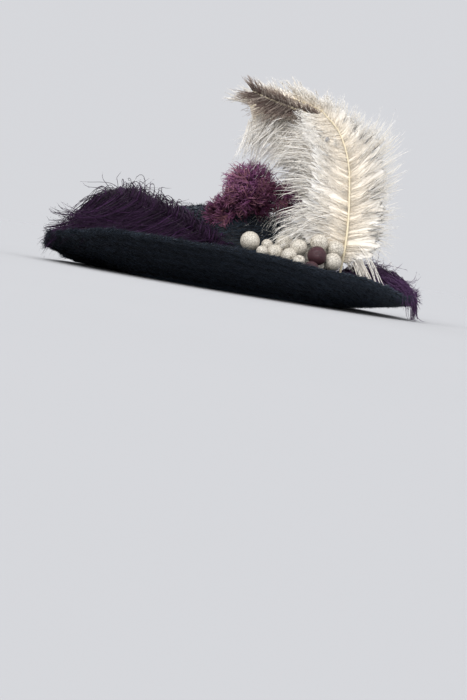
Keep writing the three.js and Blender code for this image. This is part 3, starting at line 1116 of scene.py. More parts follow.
@dataclass
class Plume:
    """An ostrich plume: barbs with barbules on both sides of a quill.

    The spine rows give turn, reach and rise, and the vane rows give the share along the quill, the
    length of the barbs to the left and to the right, their sweep to the tip and their fall. Pairs for
    the two sides are left and right. The web is the close inner part of the vane.
    """

    shape: HatShape
    node: str
    slot: str
    finish: PlumeFinish
    quill: QuillFinish
    height: float
    barb: float
    spine: Rows
    vane: Rows
    facing: tuple[float, float]
    cup: float
    bulk: float
    seed: int
    barbs: int
    barbules: int
    barbule_length: float
    barb_radius: float
    barbule_radius: float
    barbule_spread: tuple[float, float]
    locks: int
    stray: float
    curl: tuple[float, float]
    over_length: tuple[float, float]
    web_share: tuple[float, float]
    points: int = 6
    clump: float = 0.35
    strays: float = 0.12
    stray_length: tuple[float, float] = (0.05, 0.30)
    scatter: float = 0.014
    uneven: float = 0.10
    lock_swell: float = 0.08
    length_range: tuple[float, float] = (0.55, 1.4)
    barbule_range: tuple[float, float] = (0.5, 1.2)
    barbule_spans: float = 0.6
    sway: float = 6.0
    wave: float = 0.03
    droop: tuple[float, float] = (0.0, 0.0)
    quill_radius: float = 0.0022
    quill_thinning: float = 0.72
    quill_steps: int = 40
    quill_sides: int = 8
    quill_lift: float = 0.0
    start: float = 0.06
    ramp: float = 0.08
    bend_limit: float = 0.75
    bend_reach: float = 0.06
    web_columns: int = 150
    web_rows: int = 14
    web_relief: float = 0.00012
    web_notch: float = 0.3
    web_rag: float = 0.10
    web_lift: float = 0.0
    web_thick: float = 0.0009
    web_room: float = 0.001
    barb_room: float = 0.0012
    barbule_room: float = 0.0008
    wisps: tuple[Wisps, ...] = ()
    wisp_radius: float = 0.00045
    wisp_barbules: int = 12
    wisp_root: float = 0.3
    wisp_range: tuple[float, float] = (0.7, 1.15)
    wisp_scatter: float = 0.006
    wisp_sway: float = 7.0
    wisp_depth: float = 0.12
    line: Spine = field(init=False)

    def __post_init__(self) -> None:
        """Draws the quill's line."""
        rows = np.array(self.spine)
        self.line = Spine(self.shape.over(rows[:, 0], rows[:, 1], rows[:, 2] * self.height))

    def frame_at(self, share: Array) -> tuple[Array, Array, Array, Array]:
        """Gives the root, the direction, the face and the left side of the vane at shares of the quill.

        Args:
            share: How far along the quill.

        Returns:
            The points of the quill, its directions, the vane's facings and its left sides.
        """
        tangent = self.line.along(share)
        face = self.shape.facing(*self.facing)
        normal = unit(face - np.sum(tangent * face, -1, keepdims=True) * tangent)
        return self.line.at(share), tangent, normal, np.cross(normal, tangent)

    def laid(self, share: Array, out: Array, hand: Hand, length: Array, depth: Array,
             sway: Array) -> Array:
        """Places points of the vane.

        Args:
            share: How far along the quill, for each point.
            out: How far along the barb, for each point.
            hand: The side of the quill.
            length: The length of each barb.
            depth: How far in front of the vane each point is.
            sway: What is added to the sweep of each barb, in degrees.

        Returns:
            The points.
        """
        root, tangent, normal, side = self.frame_at(share)
        sweep = np.radians(eased(self.vane, 3, share) + sway)
        fall = length * eased(self.vane, 4, share) * out ** 2
        ahead = self.line.along(np.minimum(share + self.bend_reach, 1))
        behind = self.line.along(np.maximum(share - self.bend_reach, 0))
        span = 2 * self.bend_reach * self.line.length
        inward = np.maximum(np.sum((ahead - behind) * side, -1) * hand.value / span, 1e-4)
        width = np.minimum(length * np.cos(sweep), self.bend_limit / inward)
        sideways = hand.value * width * out ** 0.92
        onward = length * np.sin(sweep) * out ** 1.2
        forward = depth + self.cup * length * out ** 2
        return (root + side * sideways[..., None] + tangent * onward[..., None] + normal * forward[..., None]
                - UP * fall[..., None])

    def barb_lines(self, hand: Hand, number: int, rng: Generator) -> tuple[Array, Array]:
        """Draws the barbs on one side of the quill.

        Args:
            hand: The side.
            number: How many barbs.
            rng: The draws that vary them.

        Returns:
            The lines of the barbs and the share along the quill where each grows.
        """
        share = np.sort(rng.uniform(self.start, 1, number))
        out = np.broadcast_to(np.linspace(0, 1, self.points), (number, self.points))
        lock = (np.floor(share * self.locks) + 0.5 + 0.2 * np.sin(share * 90)) / self.locks
        pull = self.clump * (lock - share)[:, None] * out ** 2
        here = np.clip(share[:, None] + pull + rng.normal(0, self.scatter, (number, 1)) * out, 0, 1)
        swell = self.lock_swell * np.sin(share * self.locks * 2 * math.pi)
        vary = 1 + rng.normal(0, self.uneven, number) + swell
        vary += np.where(rng.random(number) < self.strays, rng.uniform(*self.stray_length, number), 0)
        length = self.barb * self.over_length[hand.place] * eased(self.vane, 1 + hand.place, share)
        grown = np.clip((share - self.start) / self.ramp, 0.25, 1)
        length = length * np.clip(vary, *self.length_range) * grown
        layer = rng.uniform(-1, 1, (number, 1))
        depth = self.bulk * self.barb * layer * (1 - out ** 1.4) * 0.9
        depth = depth + self.stray * length[:, None] * rng.normal(0, 1, (number, 1)) * out ** 1.5
        length = np.broadcast_to(length[:, None], out.shape)
        lines = self.laid(here, out, hand, length, depth, rng.normal(0, self.sway, (number, 1)))
        droop = self.droop[hand.place] * np.clip(1 + rng.normal(0, 0.25, (number, 1)), 0.3, 1.7)
        lines[..., 2] -= droop * length * out ** 3
        return self._curled(lines, self.frame_at(share)[1][:, None] * hand.value, rng), share

    def wisp_lines(self, run: Wisps, rng: Generator) -> Array:
        """Draws one run of wisps, from inside the vane to beyond its edge.

        Args:
            run: The run.
            rng: The draws that vary them.

        Returns:
            The lines of the wisps.
        """
        number = run.number
        tuft = rng.uniform(run.low, run.high, max(number // 4, 1))
        share = np.clip(rng.choice(tuft, number) + rng.normal(0, self.wisp_scatter, number), 0, 1)
        out = np.broadcast_to(np.linspace(self.wisp_root, 1, self.points), (number, self.points))
        reach = self.barb * run.length * rng.uniform(*self.wisp_range, (number, 1))
        length = np.broadcast_to(reach, out.shape)
        turn = run.sweep - eased(self.vane, 3, share)[:, None] + rng.normal(0, self.wisp_sway, (number, 1))
        depth = self.wisp_depth * self.barb * rng.normal(0, 1, (number, 1)) * out
        lines = self.laid(np.broadcast_to(share[:, None], out.shape), out, run.hand, length, depth, turn)
        lines[..., 2] -= run.droop * length * out ** 2.4 * rng.uniform(0.7, 1.3, (number, 1))
        return self._curled(lines, self.frame_at(share)[1][:, None] * run.hand.value, rng)

    def web_mesh(self) -> Mesh:
        """Makes the close inner part of the vane, where the barbs lie side by side."""
        rng = default_rng(self.seed + 500)
        form = bmesh.new()
        bmesh.ops.create_grid(form, x_segments=self.web_columns, y_segments=self.web_rows, size=0.5)
        places = np.array([vertex.co for vertex in form.verts])
        share = self.start + (1 - self.start) * (places[:, 0] + 0.5)
        out = np.abs(places[:, 1]) * 2
        barb = np.round((places[:, 0] + 0.5) * self.web_columns).astype(int)
        tone = rng.beta(2, 2, self.web_columns + 1)[barb]
        depth = self.web_lift * out + rng.normal(0, self.web_relief, self.web_columns + 1)[barb]
        ragged = np.abs(rng.normal(0, self.web_rag, (2, self.web_columns + 1)))
        notch = self.web_notch * np.abs(np.sin(share * self.locks * math.pi))
        ramp = np.clip((share - self.start) / self.ramp, 0.3, 1)
        points = np.zeros((len(places), 3))
        cover = np.zeros(len(places))
        for hand in Hand:
            mine = places[:, 1] * hand.value >= 0
            cover[mine] = self.web_share[hand.place]
            edge = 1 - np.minimum(notch + ragged[hand.place, barb], 0.6) * out ** 3
            length = self.barb * eased(self.vane, 1 + hand.place, share) * cover * edge * ramp
            laid = self.laid(share, out, hand, length, depth, np.zeros_like(share))
            points[mine] = laid[mine]
        points = self.shape.cleared(points, self.web_room)
        along = form.verts.layers.float.new("along")
        strand = form.verts.layers.float.new("strand")
        for vertex, point, *marks in zip(form.verts, points, out * cover, tone):
            vertex.co = point
            vertex[along], vertex[strand] = marks
        bmesh.ops.solidify(form, geom=form.faces, thickness=self.web_thick)
        return mesh_of(form, self.node + "_web")

    def _curled(self, lines: Array, axis: Array, rng: Generator) -> Array:
        """Curls the far ends of the barbs and gives each a slow wave.

        Args:
            lines: The lines of the barbs.
            axis: What each curls about.
            rng: The draws that vary them.

        Returns:
            The curled lines.
        """
        number, points = lines.shape[:2]
        steps = np.diff(lines, axis=1)
        ramp = (np.arange(points - 1) / (points - 2))[None, :] ** 1.7
        angle = rng.normal(*self.curl, (number, 1)) * ramp
        axes = unit(axis + rng.normal(0, 0.3, (number, 1, 3)))
        steps = turned(steps, np.broadcast_to(axes, steps.shape), angle)
        start = lines[:, :1]
        curled = np.concatenate([start, start + np.cumsum(steps, axis=1)], axis=1)
        phase = rng.uniform(0, 2 * math.pi, (number, 1, 3))
        way = np.linspace(0, 1, points)[None, :, None]
        swing = np.sin(phase + way * rng.uniform(2, 5, (number, 1, 3))) - np.sin(phase)
        return curled + swing * self.wave * self.barb * way

    def fluff(self, lines: Array, each: int, strand: Array, strands: Strands, rng: Generator) -> None:
        """Adds the barbules along barbs.

        Args:
            lines: The lines of the barbs.
            each: How many barbules each barb has.
            strand: The mark of each barb.
            strands: What they are added to.
            rng: The draws that vary them.
        """
        number, points = lines.shape[:2]
        count = number * each
        owner = np.repeat(np.arange(number), each)
        place = rng.uniform(0.02, 1, count) ** 0.9 * (points - 1)
        index = np.minimum(place.astype(int), points - 2)
        low, high = lines[owner, index], lines[owner, index + 1]
        root = low + (high - low) * (place - index)[:, None]
        tangent = unit(high - low)
        flat = unit(np.cross(tangent, unit(rng.normal(size=(number, 3)))[owner]))
        side = np.where(rng.random(count) < 0.5, -1.0, 1.0)[:, None]
        spread = rng.uniform(*self.barbule_spread, count)[:, None]
        aside = flat * side + rng.normal(0, 0.35, (count, 3))
        way = unit(tangent * np.cos(spread) + aside * np.sin(spread))
        length = self.barbule_length * rng.uniform(*self.barbule_range, count)
        length = length * (1.1 - 0.5 * place / (points - 1))
        ends = self._kept(np.stack([root, root + way * length[:, None]], 1), self.barbule_room)
        along = np.stack([place, np.minimum(place + self.barbule_spans, points - 1)], 1) / (points - 1)
        vary = np.clip(strand[owner] + rng.normal(0, 0.12, count), 0, 1)
        strands.add(ends, self.barbule_radius, vary, rng, along)

    def _kept(self, lines: Array, room: float) -> Array:
        """Keeps strands off the brim and the crown, and from in front of the stone."""
        return self.shape.parted(self.shape.cleared(lines, room))

    def barb_mesh(self) -> Mesh:
        """Joins the barbs and barbules of both sides, and the wisps, into one mesh."""
        rng = default_rng(self.seed)
        strands = Strands()
        number = self.barbs // 2
        for hand in Hand:
            lines, share = self.barb_lines(hand, number, rng)
            lines = self._kept(lines, self.barb_room)
            strand = np.clip(rng.beta(2, 2, number) + 0.1 * np.sin(share * 60), 0, 1)
            strands.add(lines, self.barb_radius, strand, rng)
            self.fluff(lines, self.barbules, strand, strands, rng)
        for run in self.wisps:
            lines = self._kept(self.wisp_lines(run, rng), self.barb_room)
            strand = rng.uniform(0.2, 1, run.number)
            strands.add(lines, self.wisp_radius, strand, rng, (0.5, 1.0))
            self.fluff(lines, self.wisp_barbules, strand, strands, rng)
        return strands.mesh(self.node + "_barbs")

    def quill_mesh(self) -> Mesh:
        """Makes the quill, which thins towards its tip."""
        share = np.linspace(0, 1, self.quill_steps)
        radius = self.quill_radius * (1 - self.quill_thinning * share ** 0.8)
        line, _, normal, _ = self.frame_at(share)
        form = tube(line + normal * self.quill_lift, radius, self.quill_sides)
        return mesh_of(form, self.node + "_quill")

    def build(self) -> None:
        """Builds and dresses the plume."""
        ostrich = self.finish.material(self.node + "_ostrich")
        show(self.barb_mesh(), ostrich, self.slot, self.node)
        show(self.web_mesh(), ostrich, self.slot)
        show(self.quill_mesh(), self.quill.material(self.node + "_horn"), self.slot)


@dataclass
class CurledTip:
    """The round curled tip over the crown's shoulder: a ball of short curly strands."""

    shape: HatShape
    finish: PlumeFinish
    turn: float = -14.5
    reach: float = -0.18
    rise: float = 0.099
    radius: float = 0.031
    strand_radius: float = 0.00048
    core_share: float = 0.6
    core_bumps: float = 0.10
    seat_range: tuple[float, float] = (0.42, 0.58)
    length_range: tuple[float, float] = (0.36, 0.68)
    hook_range: tuple[float, float] = (0.5, 2.4)
    hook_spread: float = 0.4
    bend_spread: float = 0.10
    flow_spread: float = 0.26
    axis_spread: float = 0.25
    seat_spread: float = 0.13
    tone_spread: float = 0.16
    shade_spread: float = 0.14
    tufts: int = 190
    tuft_strands: int = 10
    tail_tufts: int = 105
    skirt_tufts: int = 70
    points: int = 6
    room: float = 0.001
    seed: int = 71

    def middle(self) -> Array:
        """The middle of the ball."""
        return self.shape.over(self.turn, self.reach, self.rise)

    def core(self) -> Mesh:
        """Makes the dense heart of the ball."""
        form = bmesh.new()
        bmesh.ops.create_icosphere(form, subdivisions=4, radius=self.radius * self.core_share)
        bmesh.ops.smooth_vert(form, verts=form.verts, factor=0.5)
        for vertex in form.verts:
            x, y, z = vertex.co
            vertex.co *= 1 + self.core_bumps * math.sin(260 * x) * math.sin(240 * y + 150 * z)
        bmesh.ops.translate(form, verts=form.verts, vec=Vector(self.middle()))
        return mesh_of(form, "mauve_tip_heart")

    def curls(self) -> Mesh:
        """Makes the tufts of curly strands that stand out all over the ball, its tail and its skirt.

        The first tufts are the ball's, the next the tail's, which runs to the back of the view, and the
        last the skirt's, which fall down its front.
        """
        rng = default_rng(self.seed)
        towards = self.shape.facing(VIEW_TURN, 0)
        back = np.cross(UP, towards)
        tufts = self.tufts + self.tail_tufts + self.skirt_tufts
        radial = unit(rng.normal(size=(tufts, 3)))
        place = np.arange(tufts)
        skirt = place >= self.tufts + self.tail_tufts
        tail = (place >= self.tufts) & ~skirt
        run = rng.uniform(0.2, 1, tufts)
        size = np.where(tail, 0.80 - 0.38 * run, np.where(skirt, 0.5, 1.0))
        heart = self.middle() + (tail * run)[:, None] * self.radius * (1.55 * back - 0.26 * UP)
        down = -1.0 * back - 0.98 * UP + 0.2 * towards
        heart += (skirt * (0.35 + 0.65 * run))[:, None] * self.radius * down
        owner = np.repeat(np.arange(tufts), self.tuft_strands)
        number = len(owner)
        flow = unit(radial + np.where(skirt, 0.0, 0.6)[:, None] * UP
                    - np.where(skirt, 0.7, np.where(tail, 0.4, 0.2))[:, None] * back)
        spread = unit(flow[owner] + rng.normal(0, self.flow_spread, (number, 3)))
        seat = radial[owner] + rng.normal(0, self.seat_spread, (number, 3))
        depth = self.radius * rng.uniform(*self.seat_range, number) * size[owner]
        root = heart[owner] + seat * depth[:, None]
        length = self.radius * rng.uniform(*self.length_range, number) * size[owner] ** 0.5
        steps = np.repeat(spread[:, None], self.points - 1, 1) * (length / (self.points - 1))[:, None, None]
        axis = unit(np.cross(flow, unit(rng.normal(size=(tufts, 3)))))[owner]
        axis = axis + rng.normal(0, self.axis_spread, (number, 3))
        hook = rng.uniform(*self.hook_range, tufts)[owner] + rng.normal(0, self.hook_spread, number)
        ramp = (np.arange(self.points - 1) / (self.points - 2)) ** 1.5
        bend = hook[:, None] * ramp + rng.normal(0, self.bend_spread, (number, self.points - 1))
        steps = turned(steps, np.broadcast_to(unit(axis)[:, None], steps.shape), bend)
        lines = np.concatenate([root[:, None], root[:, None] + np.cumsum(steps, axis=1)], axis=1)
        lines = self.shape.cleared(lines, self.room)
        tone = rng.beta(1.2, 1.6, tufts)[owner]
        strand = np.clip(tone + rng.normal(0, self.tone_spread, number), 0, 1)
        # Painted shade: strands on the ball's side away from the light, and those of the tail and the skirt,
        # get a higher shade mark and so more of the dark plum.
        light = radial @ unit(-0.9 * back + 0.5 * UP + 0.25 * towards)
        dark = np.where(tail | skirt, 0.5, 0.35 - 0.75 * light)
        shade = np.clip(dark[owner] + rng.normal(0, self.shade_spread, number), 0, 1)
        strands = Strands()
        strands.add(lines, self.strand_radius, strand, rng, shade=shade)
        return strands.mesh("mauve_tip_curls")

    def build(self) -> None:
        """Builds and dresses the curled tip."""
        material = self.finish.material("mauve_ostrich")
        show(self.core(), material, "mauve_plume", "mauve_tip")
        show(self.curls(), material, "mauve_plume")


@dataclass
class Berries:
    """The satin berries on their wired stem."""

    shape: HatShape
    pearl: BerryFinish
    plum: BerryFinish
    floss: FlossFinish
    rows: int = 18
    sides: int = 28
    pit_start: float = 0.97
    pit_depth: float = 0.10
    squash: float = 0.985
    stem_turns: tuple = (-26.0, -14.0, -2.0, 10.0, 22.0)
    stem_reach: float = 0.2
    stem_radius: float = 0.0024
    stem_steps: int = 26
    twig_radius: float = 0.0011
    twig_sag: float = 0.002
    twig_steps: int = 5

    def berry(self, node: str) -> Mesh:
        """Shapes a berry in the place of its node, with the pit of its wire at the outer end.

        Args:
            node: The berry's node.

        Returns:
            The mesh.
        """
        middle, radius = middle_of(node)
        form = bmesh.new()
        bmesh.ops.create_uvsphere(form, u_segments=self.sides, v_segments=self.rows, radius=radius)
        for vertex in form.verts:
            past = max(vertex.co.z / radius - self.pit_start, 0) / (1 - self.pit_start)
            vertex.co.z = (vertex.co.z - radius * self.pit_depth * past) * self.squash
        letters = sum(map(ord, node))
        lean = Matrix.Rotation(math.radians(40 + letters % 70), 3, "Y")
        spin = Matrix.Rotation(math.radians(letters * 37 % 360), 3, "Z")
        bmesh.ops.rotate(form, verts=form.verts, cent=(0, 0, 0), matrix=spin @ lean)
        bmesh.ops.translate(form, verts=form.verts, vec=middle)
        return mesh_of(form, node + "_satin")

    def stem(self, nodes: list[str]) -> Mesh:
        """Makes the wired stem along the brim, with a twig up to each berry.

        Args:
            nodes: The nodes of the berries.

        Returns:
            The mesh.
        """
        spine = Spine(self.shape.over(self.stem_turns, self.stem_reach, self.stem_radius * 0.9))
        line = spine.at(np.linspace(0, 1, self.stem_steps))
        form = tube(line, np.full(self.stem_steps, self.stem_radius), 10)
        parts = np.linspace(0, 1, self.twig_steps)[:, None]
        for node in nodes:
            end = np.array(middle_of(node)[0])
            start = line[np.argmin(np.linalg.norm(line - end, axis=1))]
            twig = start + (end - start) * parts - self.twig_sag * UP * np.sin(math.pi * parts)
            tube(twig, np.full(self.twig_steps, self.twig_radius), 6, form)
        return mesh_of(form, "berry_stem_floss")

    def build(self) -> None:
        """Builds and dresses the berries and their stem."""
        pearl = self.pearl.material("pearl_satin")
        plum = self.plum.material("plum_satin")
        nodes = [name for name in sorted(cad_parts) if "berry" in name and name != "berry_stem"]
        for node in nodes:
            finish, slot = (plum, "plum_berry") if node.startswith("plum") else (pearl, "pearl_berry")
            show(self.berry(node), finish, slot, node)
        show(self.stem(nodes), self.floss.material("stem_floss"), "stem", "berry_stem")


@dataclass
class Crystal:
    """The small cut stone in the cream plume. Its cuts are shares of its half width."""

    finish: GlassFinish
    facets: int = 12
    table: float = 0.58
    crown: float = 0.42
    pavilion: float = 0.8
    culet: float = 0.12

    def build(self) -> None:
        """Builds and dresses the stone in the place of its node."""
        middle, half = middle_of("crystal")
        form = bmesh.new()
        cuts = ((1.0, self.table, self.crown, 0.5), (self.culet, 1.0, self.pavilion, -0.5))
        for low, high, depth, seat in cuts:
            bmesh.ops.create_cone(form, cap_ends=True, segments=self.facets, radius1=half * low,
                                  radius2=half * high, depth=half * depth,
                                  matrix=Matrix.Translation((0, 0, half * depth * seat)))
        girdle = [face for face in form.faces if abs(face.calc_center_median().z) < 1e-6]
        bmesh.ops.delete(form, geom=girdle, context="FACES")
        outward = Vector((middle.x, middle.y, 0)).normalized()
        turn = Vector(UP).rotation_difference(outward)
        bmesh.ops.rotate(form, verts=form.verts, cent=(0, 0, 0), matrix=turn.to_matrix())
        bmesh.ops.translate(form, verts=form.verts, vec=middle)
        show(mesh_of(form, "crystal_stone", smooth=False), self.finish.material("cut_glass"),
             "crystal", "crystal")


@dataclass
class Studio:
    """The pale floor, the soft light and the camera.

    Each lamp shines alike on the whole floor; its row gives name, turn, tilt, power and spread.
    """

    shape: HatShape
    distance: float = 1.85
    camera_height: float = 0.035
    roll: float = 9.5
    pixel: float = 0.00104
    image: tuple[int, int] = (467, 700)
    hat_pixel: tuple[float, float] = (231, 290)
    sensor: float = 36.0
    grey: tuple = (0.675, 0.683, 0.713)
    floor_greys: tuple = ((0.430, 0.433, 0.444), (0.438, 0.441, 0.452))
    floor_radius: float = 40.0
    lamps: tuple = (("window", -48, 40, 2.5, 45), ("fill", 35, 30, 0.7, 70), ("back", 170, 48, 1.1, 60))

    def floor(self) -> None:
        """Lays a wide pale floor."""
        form = bmesh.new()
        bmesh.ops.create_circle(form, cap_ends=True, segments=64, radius=self.floor_radius)
        mesh = mesh_of(form, "floor")
        recipe = Recipe("pale_floor", Roughness=0.9, Specular_IOR_Level=0.0)
        colour = recipe.mixed(recipe.noise(recipe.place(), 3, 2), *self.floor_greys)
        mesh.materials.append(recipe.wear(Base_Color=colour))
        placed("floor", mesh)

    def light(self) -> None:
        """Hangs soft lights round the hat, under an even pale sky."""
        world = bpy.data.worlds.new("pale_room")
        world.use_nodes = True
        sky = world.node_tree.nodes["Background"]
        sky.inputs[0].default_value = (*self.grey, 1)
        sky.inputs[1].default_value = 1.0
        bpy.context.scene.world = world
        bpy.context.scene.view_settings.view_transform = "Standard"
        for name, turn, tilt, power, spread in self.lamps:
            lamp = bpy.data.lights.new(name, "SUN")
            lamp.angle = math.radians(spread)
            lamp.energy = power
            towards = Vector(self.shape.facing(turn, tilt))
            placed(name, lamp).rotation_euler = towards.to_track_quat("Z", "Y").to_euler()

    def camera(self) -> None:
        """Sets the camera at the photograph's angle to the hat, just above the floor."""
        towards = Vector(self.shape.facing(VIEW_TURN, 0))
        right = Vector((-towards.y, towards.x, 0))
        up = Vector(UP)
        lean = math.radians(self.roll)
        over = self.pixel * (self.image[0] / 2 - self.hat_pixel[0])
        rise = self.pixel * (self.hat_pixel[1] - self.image[1] / 2)
        axis = Vector(self.shape.axis)
        aim = axis + right * (over * math.cos(lean) - rise * math.sin(lean))
        aim += up * (over * math.sin(lean) + rise * math.cos(lean))
        seat = axis + towards * self.distance
        seat.z = self.camera_height
        back = (seat - aim).normalized()
        upright = up * math.cos(lean) - right * math.sin(lean)
        side = upright.cross(back).normalized()
        top = back.cross(side)
        camera = bpy.data.cameras.new("camera")
        camera.sensor_fit = "HORIZONTAL"
        camera.sensor_width = self.sensor
        camera.lens = self.sensor * self.distance / (self.pixel * self.image[0])
        holder = placed("camera", camera)
        holder.matrix_world = Matrix.Translation(seat) @ Matrix((side, top, back)).transposed().to_4x4()
        bpy.context.scene.camera = holder

    def build(self) -> None:
        """Sets up the floor, the light and the camera."""
        self.camera()
        self.floor()
        self.light()


AUBERGINE = PlumeFinish(
    root=(0.006, 0.002, 0.007), middle=(0.013, 0.004, 0.0155), tip=(0.018, 0.0075, 0.022),
    other=(0.062, 0.019, 0.078), sheen=0.03, gloss=0.16)
VIOLET = PlumeFinish(
    root=(0.018, 0.008, 0.022), middle=(0.045, 0.018, 0.056), tip=(0.085, 0.040, 0.105),
    other=(0.125, 0.062, 0.155), sheen=0.05, gloss=0.15)
# The mauve tip's darkest plum is painted shade, laid by the shade mark on its side away from the light and
# over its tail and skirt.
MAUVE = PlumeFinish(
    root=(0.045, 0.010, 0.035), middle=(0.190, 0.055, 0.160), tip=(0.330, 0.145, 0.280),
    other=(0.420, 0.215, 0.200), painted_shade=(0.065, 0.014, 0.030), sheen=0.06, gloss=0.16)
CREAM = PlumeFinish(
    root=(0.97, 0.87, 0.72), middle=(0.98, 0.92, 0.83), tip=(1.0, 0.985, 0.955),
    other=(0.97, 0.90, 0.79), sheen=0.5, gloss=0.2)
TAUPE = PlumeFinish(
    root=(0.055, 0.032, 0.028), middle=(0.100, 0.060, 0.052), tip=(0.36, 0.28, 0.235),
    other=(0.62, 0.54, 0.46), sheen=0.1, gloss=0.2)
HORN = QuillFinish(horn=(0.82, 0.70, 0.46), worn=(0.88, 0.80, 0.62))
DARK_HORN = QuillFinish(horn=(0.020, 0.010, 0.020), worn=(0.045, 0.022, 0.045))
PEARL = BerryFinish(skin=(0.79, 0.74, 0.65), dull=(0.50, 0.455, 0.375), crackle=(0.12, 0.092, 0.060))
PLUM = BerryFinish(
    skin=(0.062, 0.014, 0.022), dull=(0.040, 0.010, 0.015), crackle=(0.015, 0.004, 0.007),
    shine=0.55, coat=0.08)


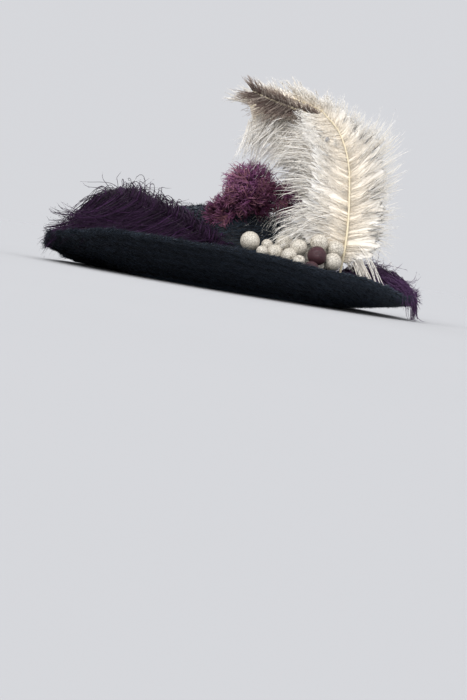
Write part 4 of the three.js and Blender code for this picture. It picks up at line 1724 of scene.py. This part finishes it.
def plumes(shape: HatShape) -> list[Plume]:
    """Lists the five plumes of the hat.

    Args:
        shape: The shape that they are set out on.

    Returns:
        The plumes.
    """
    left, right = Hand
    dark = {"shape": shape, "slot": "aubergine_plume", "quill": DARK_HORN}
    cream = {
        "shape": shape, "slot": "cream_plume", "finish": CREAM, "quill": HORN, "barbules": 22,
        "barbule_length": 0.0065, "barbule_radius": 0.00012, "barb_radius": 0.00025, "wave": 0.02,
        "web_notch": 0.04, "web_rag": 0.2}
    front = Plume(
        **dark, node="front_plume", finish=AUBERGINE, height=0.064, barb=0.052, seed=31,
        spine=((-22, 0.14, 0), (-34, 0.17, 0.55), (-49.5, 0.20, 0.76), (-70.5, 0.24, 0.92),
               (-88, 0.37, 0.95), (-98.5, 0.51, 0.84), (-105, 0.61, 0.66)),
        vane=((0.12, 0.55, 0.5, 40, 0.25), (0.4, 0.85, 0.75, 36, 0.25), (0.7, 0.95, 0.9, 36, 0.15),
              (1, 0.75, 0.7, 70, 0.05)),
        facing=(-35, 38), cup=0.1, bulk=0.22, barbs=1120, points=10, barbules=14, barb_radius=0.00040,
        barbule_length=0.0048, barbule_radius=0.00019, barbule_spread=(0.08, 0.35), curl=(1.1, 0.35),
        stray=0.06, strays=0.06, sway=9, droop=(0.4, 0.85), over_length=(1.2, 1.38), locks=16, clump=0.8,
        quill_radius=0.0012, web_share=(1.08, 0.66), web_notch=0.1, web_columns=120, wisp_radius=0.00058,
        wisps=(Wisps(right, 0.02, 0.95, 230, 1.3, 58, 0.8), Wisps(left, 0.05, 0.85, 190, 1.15, 64, 0.4)))
    back = Plume(
        **dark, node="back_plume", finish=VIOLET, height=0.030, barb=0.046, seed=37,
        spine=((34, 0.12, 0), (38, 0.30, 0.75), (44, 0.52, 1), (52, 0.73, 0.84), (58.5, 0.91, 0.42)),
        vane=((0.15, 0.55, 0.5, 40, 0.15), (0.6, 0.85, 0.8, 38, 0.25), (1, 0.45, 0.5, 60, 0.4)),
        facing=(20, 70), cup=0.1, bulk=0.16, barbs=640, points=9, barbules=13, barb_radius=0.00038,
        barbule_length=0.0045, barbule_radius=0.00020, barbule_spread=(0.12, 0.45), curl=(0.8, 0.7),
        stray=0.12, strays=0.1, sway=14, wave=0.05, droop=(0.45, 0.45), over_length=(1.15, 1.15),
        locks=12, clump=0.8, web_share=(0.6, 0.6), web_columns=90,
        wisps=(Wisps(right, 0.02, 0.9, 90, 1.1, 50, 0.5), Wisps(left, 0.02, 0.9, 130, 1.2, 40, 0.5)))
    tall = Plume(
        **cream, node="cream_plume_back", height=0.204, barb=0.056, seed=41,
        spine=((30.5, 0.41, 0), (29.5, 0.45, 0.28), (29, 0.41, 0.48), (27, 0.35, 0.67), (23.5, 0.23, 0.82),
               (16.5, 0.12, 0.91)),
        vane=((0.14, 0.75, 0.75, 20, 0.65), (0.35, 0.85, 0.85, 30, 0.3), (0.65, 0.8, 0.9, 38, 0),
              (0.85, 0.65, 0.45, 30, 0), (1, 0.4, 0.3, 40, 0)),
        facing=(-20, 0), cup=0.25, bulk=0.03, quill_lift=0.0016, quill_radius=0.0016, barbs=1060,
        start=0.19, curl=(0.3, 0.25), stray=0.05, locks=24, clump=0.12, barbule_spread=(0.15, 0.55),
        over_length=(1.2, 1.05), web_share=(1.16, 0.9), web_lift=0.0006, web_relief=0.00006,
        wisps=(Wisps(left, 0.20, 0.50, 250, 1.25, 4, 0.12), Wisps(left, 0.20, 0.30, 60, 0.8, -22, 0.6),
               Wisps(right, 0.35, 0.76, 80, 1.05, 34, 0.0), Wisps(right, 0.18, 0.34, 60, 0.9, -26, 0.6),
               Wisps(left, 0.50, 0.88, 130, 1.3, 22, 0.2)))
    hood = Plume(
        **cream, node="cream_plume_front", height=0.212, barb=0.060, seed=43,
        spine=((42, 0.12, 0), (42.5, 0.14, 0.50), (41.5, 0.11, 0.73), (34.5, -0.01, 0.86),
               (15.5, -0.14, 0.92), (-7, -0.20, 0.925), (-26, -0.22, 0.86)),
        vane=((0.2, 0.6, 0.6, 32, 0), (0.42, 1.1, 0.6, 22, 0.3), (0.65, 1.2, 0.3, 24, 0.7),
              (0.8, 1, 0.28, 44, 0.2), (0.9, 0.9, 0.32, 38, 0.1), (1, 0.7, 0.35, 15, 0.1)),
        facing=(-25, 12), cup=0.1, bulk=0.12, barbs=860, start=0.12, curl=(0.25, 0.3), stray=0.06,
        locks=20, clump=0.25, barbule_spread=(0.15, 0.5), over_length=(1.08, 1.08),
        web_share=(0.95, 0.8), web_relief=0.00007,
        wisps=(Wisps(right, 0.66, 1.0, 90, 0.45, 40, 0.0), Wisps(left, 0.66, 0.82, 130, 1.15, 46, 0.12),
               Wisps(left, 0.82, 1.0, 90, 0.85, 30, 0.05), Wisps(left, 0.34, 0.66, 200, 1.35, 22, 0.5)))
    taupe = Plume(
        shape, "taupe_tip", "taupe_plume", TAUPE, HORN, height=0.214, barb=0.034, seed=47,
        spine=((26.5, -0.01, 0.84), (16.5, -0.01, 0.855), (3, -0.03, 0.87), (-15, -0.04, 0.895),
               (-25, -0.035, 0.915)),
        vane=((0.1, 0.3, 0.3, 40, 0.2), (0.4, 0.45, 0.4, 40, 0.2), (0.65, 0.95, 0.5, 44, 0.2),
              (1, 0.75, 0.5, 60, 0)),
        facing=(-20, 10), cup=0.15, bulk=0.2, barbs=440, barbules=22, barbule_length=0.0050,
        barbule_radius=0.00013, barb_radius=0.00030, curl=(0.3, 0.4), stray=0.10, locks=9, clump=0.5,
        barbule_spread=(0.15, 0.5), over_length=(0.85, 0.95), web_share=(0.62, 0.62), web_columns=60)
    return [front, back, tall, hood, taupe]


def main() -> None:
    """Builds the studio and every piece of the hat, in order."""
    shape = HatShape()
    plush = PlushFinish()
    Studio(shape).build()
    Brim(shape, plush).build()
    Crown(shape, plush).build()
    for plume in plumes(shape):
        plume.build()
    CurledTip(shape, MAUVE).build()
    Berries(shape, PEARL, PLUM, FlossFinish()).build()
    Crystal(GlassFinish()).build()


if __name__ == "__main__":
    main()
